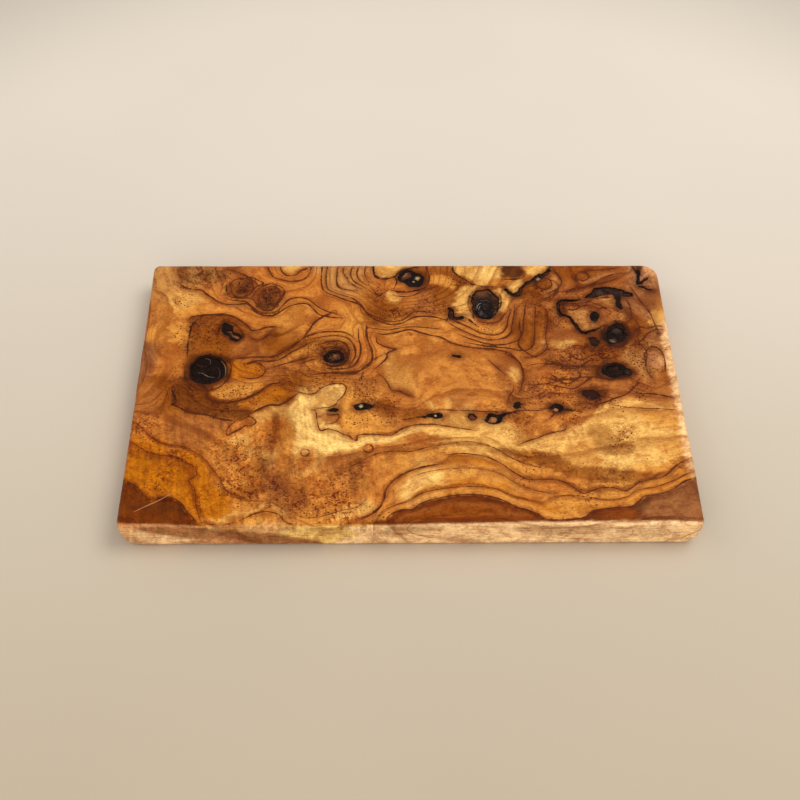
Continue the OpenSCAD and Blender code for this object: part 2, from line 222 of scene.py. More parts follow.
# Patches with an edge: colour, softness of the edge, opacity, outline
PATCHES = [
    # sapwood and pale bays at the back edge
    ("pale", 0.8, 1.0, "-80 102, -78.6 95, -75.6 92, -71.5 92, -68.6 94.5, -67 102"),
    ("pale", 1.0, 0.9, "-19 104, -19.6 93, -17 88.6, -12 87.6, -7.6 89.6, -3 94, 4 97, 5 104"),
    ("pale", 2.5, 0.8, "-8 102, -10 95, -7 92, -3 95, 3 98, 3 104"),
    ("pale", 0.8, 0.78,
     "30.6 104, 30.4 95, 32.6 91.6, 36.6 89, 40 86.6, 44 82.8, 49 80.8, 54 82, 59 86, 61 91, 60 98, "
     "62 104"),
    ("orange", 1.6, 0.8, "48 81, 56 81, 66 84, 74 84.6, 82 87, 80 90, 72 88, 62 86, 54 85"),
    ("cream", 3, 0.6, "44 92, 50 86, 56 88, 58 94, 52 98, 45 97"),
    ("shade", 1.6, 0.9, "60 104, 60.6 94, 60.6 89, 64 87, 70 87.4, 75 88, 75 92, 73 98, 73 104"),
    ("pale", 0.9, 1.0, "74 104, 74.6 95, 77.6 91.6, 80 88.6, 84 89.4, 87 92, 89 96, 91 104"),
    ("pale", 1.2, 0.95, "63.6 78, 65.4 74.6, 69 74.6, 71 78, 73.6 82, 72 86, 66 84, 63 81"),
    # crescents on each side of the round void
    ("pale", 0.7, 0.85,
     "33 78, 30.6 72, 30.4 67, 28.4 64, 30.6 59, 30.2 55.6, 32.6 56.8, 35 53, 39 52, 41.6 49.6, "
     "40.6 55, 38.6 60, 38.4 66, 39.6 71, 42 76, 44.6 80, 38 80.4"),
    ("pale", 0.7, 1.0,
     "56.4 77.6, 61 78.4, 63.8 75, 64.6 69, 62.4 62.6, 59 58.6, 54 56, 56.6 60, 58 65, 58 71, 56 75"),
    ("gold", 3, 0.7, "44 46, 50 44, 57 45, 60 41, 54 37, 47 38, 42 42"),
    ("gold", 1.8, 1.0, "14 82.4, 15 88, 19 90.4, 26 88.6, 31 84, 30 78, 24 80, 18 82"),
    ("pale", 1.2, 0.9, "-13.4 74, -12 70, -9.4 66.6, -4.6 66.6, -3 70, -5 72, -8 75, -11 76.4"),
    ("brown", 2.5, 0.7, "-26 74, -22 66, -26 58, -18 54, -8 53, 4 54, 0 60, -12 64, -16 74"),
    ("umber", 3, 0.6, "-8 88, -2 82, 6 79, 12 82, 13 90, 10 98, 0 97"),
    # burl at the right
    ("orange", 1.2, 0.9,
     "100 55, 105 57.4, 111 57, 112 50, 115.6 47, 114 43.4, 108 42, 104 44.6, 103 50"),
    ("rust", 1.5, 0.8, "99 66, 108 67, 120 66, 132 60, 136 54, 130 49, 119 48, 114 58, 100 58"),
    ("umber", 1.8, 0.9, "94 67, 99 67, 99.6 61, 99 55.6, 94.4 55"),
    ("tan", 1.5, 0.8, "100 60, 106 59, 112 58, 112 52, 116 46, 113 43.4, 108 43, 104 46, 102 52"),
    ("tan", 2, 0.7, "127 56, 132 57, 135 54, 132 50, 129 52"),
    ("pale", 1.6, 0.95, "149 57, 152 58.6, 166 59, 166 45, 152 44, 148 47, 149.6 52"),
    ("umber", 2, 0.7, "136 60, 139 57, 138 51, 134 46, 132 48, 135.6 53"),
    ("brown", 2.5, 0.7, "74 82, 84 84, 91 82, 92 77, 86 73, 78 74"),
    ("tan", 1.6, 0.7, "92 88, 95 90, 96.6 86, 95 80, 90 75, 86 72, 88 76, 92 81"),
    ("tan", 1.2, 0.9, "121 69.6, 124 70, 130 69.6, 129.6 65, 127 63.4, 124 65"),
    ("clay", 1.5, 0.85, "142 23.5, 148 25, 153 18, 152.5 13, 144.5 13, 141 17"),
    ("brown", 2, 0.7, "151 14, 157 8, 158 -2, 151.5 0, 149 7"),
    ("umber", 1, 0.8, "151 40, 155 41, 155 37, 151.5 36.5"),
    ("heart", 2.5, 0.6, "95 98, 97 88, 108 78, 122 82, 140 82, 146 92, 144 104, 96 104"),
    ("shade", 1.8, 0.9, "144.6 104, 145.4 95, 146.6 91, 150 93, 151 98, 149 104"),
    ("tan", 2.5, 0.6, "110 82, 118 84, 128 88, 136 90, 136 92, 124 91, 114 87"),
    ("pale", 1.6, 0.6, "79 33, 84 30.6, 92 28, 98 29.6, 103 33.6, 98 35, 92 34, 86 33.6"),
    ("pale", 1.8, 0.8, "60 12, 63 13.4, 66 10, 66.6 4, 64.6 1, 61 4, 59.4 8"),
    ("gold", 2.5, 0.8, "-58 21, -48 18, -40 16, -36 11, -46 10, -60 12"),
    ("umber", 3, 0.5, "82 22, 92 20, 100 16, 94 12, 86 15, 80 18"),
    ("umber", 4, 0.2, "100 16, 112 18, 116 10, 112 3, 100 6, 92 10"),
    ("plum", 3, 0.5, "100 -4, 108 -3, 114 -7, 113 -16, 104 -20, 96 -22, 98 -10"),
    # round dead knot at the left and the burl round it
    ("brown", 2, 0.85,
     "-132 54, -124 55.4, -112 55.6, -105 52.6, -98 46, -96 40, -104 33, -118 29, -124 28, -131 32, "
     "-133 44"),
    ("umber", 2, 0.85,
     "-132 22, -134 10, -136 0, -138 -8, -136 -15, -129 -20, -118 -22, -106 -25, -96 -27, -90 -22, "
     "-98 -14, -112 -14, -118 -6, -112 0, -104 8, -102 16, -108 22, -120 24"),
    ("amber", 1.6, 0.8, "-106 18, -96 18, -88 16.6, -85 10, -88 4.6, -96 3, -104 4.6, -106 10"),
    ("gold", 1.4, 0.9,
     "-112 -1, -104 2, -96 2.4, -88 3.6, -84.6 1, -86 -3, -92 -7.6, -98 -10, -106 -11.6, -112 -10, "
     "-115 -5.6"),
    ("amber", 2, 0.6, "-88 -3, -80 0, -72 -4, -74 -12, -86 -16, -96 -18, -100 -14, -92 -10"),
    ("brown", 2.5, 0.5, "-82 4, -70 10, -58 14, -46 12, -34 9, -36 2, -50 0, -62 -2, -74 0"),
    ("gold", 3, 0.7, "-80 18, -72 24, -62 30, -56 33, -56 28, -66 20, -76 14"),
    ("umber", 3, 0.45, "-52 30, -44 35, -36 33, -33 22, -36 17, -42 17, -51 21"),
    ("ash", 2, 0.8,
     "-144 104, -145 94, -142 86, -136 82, -127 84, -114 87, -112 92, -122 96, -130 104"),
    ("umber", 2.5, 0.75, "-145 104, -144.6 94, -142.6 88, -139 84, -136 88, -138 93, -138 104"),
    ("umber", 2, 0.7, "-140 86, -133 82, -130 84, -127 90, -128 95, -124 94, -123 88, -128 84"),
    ("umber", 2, 0.6, "-120 94, -115 94, -113 90, -114 86, -119 87"),
    ("umber", 1.4, 0.85, "-113 84, -110 85, -109 78, -110.6 72.6, -113 74"),
    ("shade", 1.0, 0.7, "-107.6 79, -105 83, -101 85.4, -98 83, -97.4 79, -99 75, -103 73.6, -107 75"),
    ("rust", 1.5, 0.2, "-103 83, -100 84, -99 80, -101 78.6"),
    ("shade", 0.9, 0.7,
     "-91 72, -89.6 75.4, -86 77, -84.6 80.4, -81 79.4, -79.8 74, -82 69.6, -87 68.6"),
    ("shade", 0.9, 0.7, "-92 65, -89 68, -84 68.4, -81.8 65, -83 61, -86.4 59.2, -90 61"),
    ("tan", 1.5, 0.2, "-87 74, -84 74.4, -84 70.6, -87 70"),
    ("pale", 3, 0.2, "-133 78, -126 74.6, -126 67, -134 64, -143 60, -148 66, -142 74"),
    ("umber", 2.5, 0.7, "-86 44, -79 45, -78 40, -80 34, -84 34, -88 38"),
    ("umber", 2, 0.6, "-97 43, -90 42.6, -90 40, -97 38, -102 36"),
    ("pale", 3, 0.45, "-140 76, -134 76.6, -128 74, -126 69, -132 66, -142 60, -149 66, -150 73"),
    # cream sapwood left of the middle
    ("cream", 0.9, 1.0,
     "-50 -2.4, -45 -0.4, -39 -0.6, -37.4 -3.6, -38.6 -9, -41 -12.6, -43.6 -16, -49 -17.6, -56 -19, "
     "-60 -21, -65 -18, -63.6 -12, -60 -8.6, -56 -8.4, -52.6 -7"),
    ("cream", 1.2, 0.95,
     "-66 -12, -60 -9, -56 -12, -54 -20, -53.6 -27, -52.6 -33, -47 -35, -41 -36, -37 -38.6, -31 -42, "
     "-28.6 -38.6, -18 -38.4, -10 -39, -5 -35, 2 -32, 10 -31.6, 9 -34, 0 -37, -8 -42.6, -18 -44, "
     "-26 -45, -34 -49, -44 -49.6, -52 -51, -58 -56, -64 -60, -67 -54, -66 -44, -64 -34, -66 -26, "
     "-68 -18"),
    ("honey", 3.5, 0.8, "-60 -50, -54 -50, -50 -56, -54 -64, -64 -67, -72 -62, -70 -52"),
    ("pale", 3, 0.6, "-70 -64, -62 -68, -52 -62, -48 -54, -52 -54, -58 -62, -66 -62"),
    ("gold", 3, 0.6, "-66 -34, -64 -42, -66 -50, -70 -56, -74 -48, -74 -36, -70 -28"),
    ("pale", 1.8, 0.6, "-90 -24, -84 -19, -78 -16.6, -73 -14.6, -72 -19, -78 -24, -84 -28, -88 -29"),
    ("gold", 2.5, 0.8, "-92 -30, -96 -35, -104 -40, -106 -48, -98 -52, -90 -46, -86 -38, -86 -30"),
    ("pale", 2.5, 0.6, "-96 -36, -102 -40, -100 -46, -92 -44, -90 -38"),
    ("brown", 3, 0.2, "-80 -30, -72 -30, -72 -42, -78 -52, -86 -50, -84 -40"),
    ("brown", 3, 0.6, "-76 -19, -69 -19, -66 -28, -66 -36, -70 -42, -78 -40, -80 -27"),
    ("gold", 2.5, 0.8, "-98 -56, -88 -52, -80 -56, -82 -62, -90 -66, -100 -64"),
    ("gold", 2, 0.7, "-110 -66, -104 -70, -96 -68, -90 -72, -96 -78, -106 -76"),
    ("brown", 2.5, 0.6, "-100 -76, -92 -74, -82 -72, -74 -76, -84 -80, -94 -84"),
    ("gold", 2.5, 0.2, "-40 -66, -30 -66, -22 -62, -18 -68, -22 -78, -32 -76, -42 -72"),
    ("brown", 2, 0.2, "-58 -74, -48 -76, -40 -74, -42 -79, -52 -80, -62 -78"),
    ("pale", 2, 0.7, "-40 -90, -32 -86, -24 -82, -19 -88, -24 -92, -32 -95, -42 -96"),
    ("gold", 2, 0.8, "-110 -98, -100 -96.6, -90 -92, -80 -88, -74 -89, -70 -94, -78 -98, -96 -101"),
    ("orange", 1.6, 0.6, "-54 -22, -46 -22.6, -40 -23, -42 -28, -46 -30, -51 -28"),
    ("gold", 2.5, 0.8, "-40 -12, -36 -20, -24 -22, -12 -30, -12 -36, -28 -36, -38 -34, -42 -26"),
    ("orange", 1.5, 0.7, "-19 6, -14 1, -11 -6, -4 -8, 0 -10, 0 -20, -8 -16, -18 -10, -22 0"),
    ("brown", 2, 0.7, "-20 -14, -14 -11, -10 -16, -8 -24, -14 -24, -20 -20"),
    ("brown", 1.8, 0.8, "-6 -22, 0 -20, 8 -19, 13 -20, 16 -23, 8 -26, 2 -28, -4 -28"),
    ("pale", 1.6, 0.7, "8 -12, 14 -15, 20 -19, 22 -12, 21 -8, 24 -14, 23 -20, 14 -19"),
    ("brown", 1.6, 0.8, "-20.5 -16, -17 -12.5, -12.5 -12.5, -9 -16, -9 -20.5, -13.5 -22, -19 -20"),
    ("rust", 1.5, 0.7, "-30 4, -24 5, -18 -1, -18 -7, -25 -9, -30 -5"),
    ("shade", 1.6, 0.6, "117 42, 118 34, 123 28.4, 129 27.6, 135 33, 137 40, 134 48, 126 50"),
    ("umber", 1.6, 0.8, "109 12, 110 5, 117 1.6, 126 2.4, 135 5.6, 136 11, 129 16, 117 16"),
    ("umber", 1.4, 0.8, "100 -4, 102 -11, 110 -13.4, 117 -9.6, 116 -3, 108 -0.6"),
    ("umber", 1.4, 0.7, "80 -16, 84 -23, 93 -23, 96 -19, 90 -15.4"),
    ("rust", 1.2, 0.5, "2 10, 5 8, 8 0, 6 -1, 4 3"),
    ("rust", 1.2, 0.5, "8.6 9, 11 6, 13.5 -2, 11 -3, 10 2"),
    ("rust", 1.2, 0.5, "15 5.6, 18.4 4.6, 17.6 1, 15.6 2"),
    ("mauve", 2.5, 0.6, "-84 -55, -77 -55, -73 -66, -66 -78, -72 -80, -78 -77, -82 -67"),
    ("shade", 3, 0.3, "-51 25, -46 30, -39 29, -37 22, -33 15, -36 12, -41 16, -49 18"),
    # pale band under the seam of slits, and the sapwood at the right
    ("pale", 1.0, 1.0,
     "12 -31, 22 -32.6, 32 -34, 44 -36, 51 -40, 60 -46, 66 -43.6, 74 -40.6, 82 -37, 90 -35, 98 -31, "
     "106 -25, 110 -20, 116 -16, 124 -13.6, 132 -12.6, 140 -15, 150 -19, 166 -20, 166 -50, 154 -53.6, "
     "146 -57, 138 -60, 128 -59, 118 -60, 108 -60, 98 -58, 88 -53, 78 -50, 66 -49, 58 -49, 50 -46, "
     "42 -42, 30 -39.6, 18 -38, 8 -36"),
    ("brown", 2, 0.62,
     "102 -34, 108 -32, 115 -32, 116 -40, 124 -44, 128 -48, 122 -52.6, 112 -52, 105 -48"),
    ("gold", 3.5, 0.6, "84 -52, 92 -46, 104 -42, 104 -52, 108 -60, 94 -58"),
    ("gold", 4, 0.8, "132 -18, 150 -22, 166 -24, 166 -36, 150 -34, 136 -28"),
    ("cream", 2.5, 0.7, "109 -56, 116 -55.6, 124 -57.6, 122 -60, 112 -59"),
    ("honey", 3, 0.6, "60 -20, 74 -20, 90 -24, 100 -24, 96 -30, 84 -34, 70 -38, 60 -36"),
    ("orange", 2.5, 0.6, "-20 -64, -8 -62, -2 -68, -6 -78, -14 -80, -20 -74"),
    ("gold", 1.6, 0.7, "-17 -84, -6 -86, -2 -88, -9 -91, -14 -96, -18 -90"),
    ("honey", 2.5, 0.5, "-16 -84, -4 -88, 6 -84, 16 -80, 6 -76, -8 -78"),
    ("brown", 2.5, 0.4, "-78 -8, -68 -8, -66 -14, -74 -16, -80 -12"),
    ("gold", 2.5, 0.5, "50 -60, 62 -66, 74 -66, 86 -70, 86 -64, 72 -60, 58 -56"),
    ("gold", 2, 0.6, "54 -22, 66 -22, 72 -26, 66 -31, 56 -30"),
    ("gold", 2.5, 0.6, "140 -44, 158 -40, 166 -50, 150 -54, 142 -52"),
    # the right end: its pale end grain, made lighter in part with painted light where the window's light
    # falls on it
    ("lit_blush", 1.2, 0.75, "155 47, 166 48, 190 40, 190 -66, 166 -68, 155.4 -66, 155.6 -20"),
    # burl band below it
    ("brown", 1.8, 0.85,
     "54 -47, 64 -50, 76 -50.6, 86 -55, 94 -59.6, 104 -60.6, 112 -62, 122 -63, 132 -65, 140 -65, "
     "136 -70, 124 -72, 112 -72, 100 -71, 88 -67.6, 78 -62, 66 -58, 58 -54, 50 -50"),
    ("rust", 2.5, 0.45, "-2 -38, 6 -36, 16 -38, 24 -41, 14 -44.6, 2 -49, -12 -52, -22 -50, -12 -44"),
    ("amber", 1.8, 0.8, "22 -53, 32 -53, 42 -55, 50 -60, 42 -60, 30 -59, 20 -59"),
    ("orange", 2, 0.7, "58 -68, 66 -72, 76 -71, 86 -75, 92 -79, 80 -79, 68 -76, 60 -72"),
    ("cream", 3, 0.6, "-4 -75, 2 -68, 10 -64, 18 -64, 16 -70, 8 -72, 4 -78, -2 -84, -6 -82"),
    ("gold", 2, 0.7, "6 -78, 20 -76, 34 -75.6, 48 -77, 56 -82, 44 -79, 28 -78.6, 12 -81"),
    ("gold", 2, 0.8, "74 -80, 88 -80, 98 -82, 94 -86, 84 -92, 76 -90, 70 -84"),
    # heartwood along the front edge
    ("plum", 0.9, 1.0,
     "-170 -68, -157 -70, -151 -74.6, -147 -79, -143 -82.4, -138 -81, -132 -81, -128 -83, -125 -86, "
     "-122.6 -90, -119 -94, -116 -98, -116 -100.6, -170 -100.6"),
    ("plum", 0.9, 1.0,
     "-17 -100.6, -14 -96.6, -11 -92.6, -5 -90, 1 -89.6, 4 -86.6, 9 -84, 18 -81.4, 28 -79.8, 40 -80.4, "
     "50 -83.6, 57 -88, 64 -90.6, 69 -93, 73 -96.6, 84 -97, 94 -95.4, 98 -92, 104 -90, 112 -89, "
     "120 -88.6, 125 -85, 129 -81.4, 137 -80, 144 -77.6, 150 -73, 156 -70, 170 -69, 170 -100.6"),
    ("rose", 3.5, 0.8, "126 -84, 132 -82, 142 -79, 152 -73, 166 -70, 166 -97, 140 -96, 124 -93"),
    ("heart", 3, 0.9, "-10 -93, 8 -85, 30 -81, 52 -86, 66 -94, 52 -97, 30 -97, 10 -98, -8 -97"),
    ("heart", 3, 0.8, "104 -90, 120 -88, 124 -93, 116 -97, 104 -96"),
    ("brown", 1.6, 0.3, "139 -69, 144 -64, 149 -57.6, 153 -55, 166 -54, 166 -66, 152 -68, 146 -72"),
    ("shade", 3, 0.7, "122 -88, 127 -84, 132 -82, 130 -88, 124 -93"),
    ("mauve", 2, 0.85, "-170 34, -155 32, -150.6 25, -149.6 17, -152.6 8, -157 2, -170 0"),
    # front face: its own pinker end-grain colours, made lighter in part with painted light for the light
    # it catches from the front
    ("clay", 1.2, 1.0, "-190 -100.4, -116 -100.4, -100 -106, -70 -112, -50 -117, -40 -130, -190 -130"),
    ("lit_blush", 2, 0.8, "-180 -101, -158 -103, -148 -106, -136 -110, -126 -113, -150 -118, -180 -116"),
    ("rose", 2, 0.8, "-150 -101, -118 -101, -108 -106, -116 -112, -134 -111, -146 -106"),
    ("cream", 0.9, 1.0,
     "-116 -100.4, -60 -100.4, -18 -100.4, -26 -106, -36 -113, -44 -119, -60 -113, -84 -106, "
     "-104 -103"),
    ("clay", 1.6, 0.8, "-112 -100.4, -70 -100.4, -66 -104, -80 -106, -98 -103"),
    ("rose", 2.0, 0.8, "-108 -105, -90 -107, -62 -112, -52 -119, -80 -126, -110 -112"),
    ("lit_blush", 1.2, 1.0, "-18 -100.4, 190 -100.4, 190 -130, -42 -130, -40 -116, -28 -108"),
    ("rose", 3, 0.5, "-10 -101, 10 -101, 16 -104, 2 -108, -12 -111, -16 -106"),
    ("rose", 3, 0.5, "58 -101, 100 -101, 112 -105, 96 -110, 70 -108"),
    ("rose", 3, 0.25, "116 -103, 140 -102, 150 -108, 138 -113, 120 -110"),
]

# Soft bands that follow a path: colour, half width, opacity, points
BANDS = [
    ("brown", 1.6, 0.65, "-36 -60, -28 -55, -20 -51, -8 -49, 4 -50, 16 -46, 30 -44, 42 -47, 54 -54"),
    ("rust", 2.2, 0.6, "0 -56, 14 -57.4, 26 -58.6, 40 -61, 50 -66, 58 -72, 68 -77, 80 -80"),
    ("amber", 2.4, 0.7, "2 -79, 14 -75, 28 -72.4, 40 -72, 50 -75, 58 -80, 68 -85, 80 -90"),
    ("brown", 1.3, 0.6, "54 -58, 62 -66, 72 -69, 84 -70, 94 -78, 104 -76, 116 -77, 128 -74, 144 -68"),
    ("amber", 2.0, 0.5, "92 -90, 104 -88, 116 -86, 126 -80, 138 -76, 150 -69, 162 -64"),
    ("brown", 1.8, 0.45, "-160 -52, -146 -54, -132 -57, -124 -62, -122 -70, -119 -78, -117 -88"),
    ("rust", 2.2, 0.5, "-96 -34, -90 -44, -84 -56, -78 -68, -68 -78, -56 -84"),
    ("gold", 1.6, 0.6, "-74 -46, -74 -56, -68 -66, -58 -70, -46 -66"),
    ("rose", 0.9, 0.35, "-8 -96, 8 -90, 28 -86, 46 -89, 60 -95"),
    ("shade", 0.9, 0.5, "-4 -98, 14 -94, 34 -91, 52 -95"),
    ("shade", 0.8, 0.5, "6 -87.6, 22 -83.4, 38 -83.6, 52 -88"),
    ("shade", 1.6, 0.6, "-158 -84, -146 -88, -134 -87, -124 -92"),
    ("umber", 0.9, 0.5, "108 -93, 122 -94, 136 -88, 150 -84, 160 -78"),
    ("mauve", 0.9, 0.5, "120 -97, 134 -94, 148 -90, 160 -86"),
    ("cream", 1.0, 0.5, "-112 -97, -102 -96, -92 -92, -84 -88, -76 -88, -68 -92"),
]

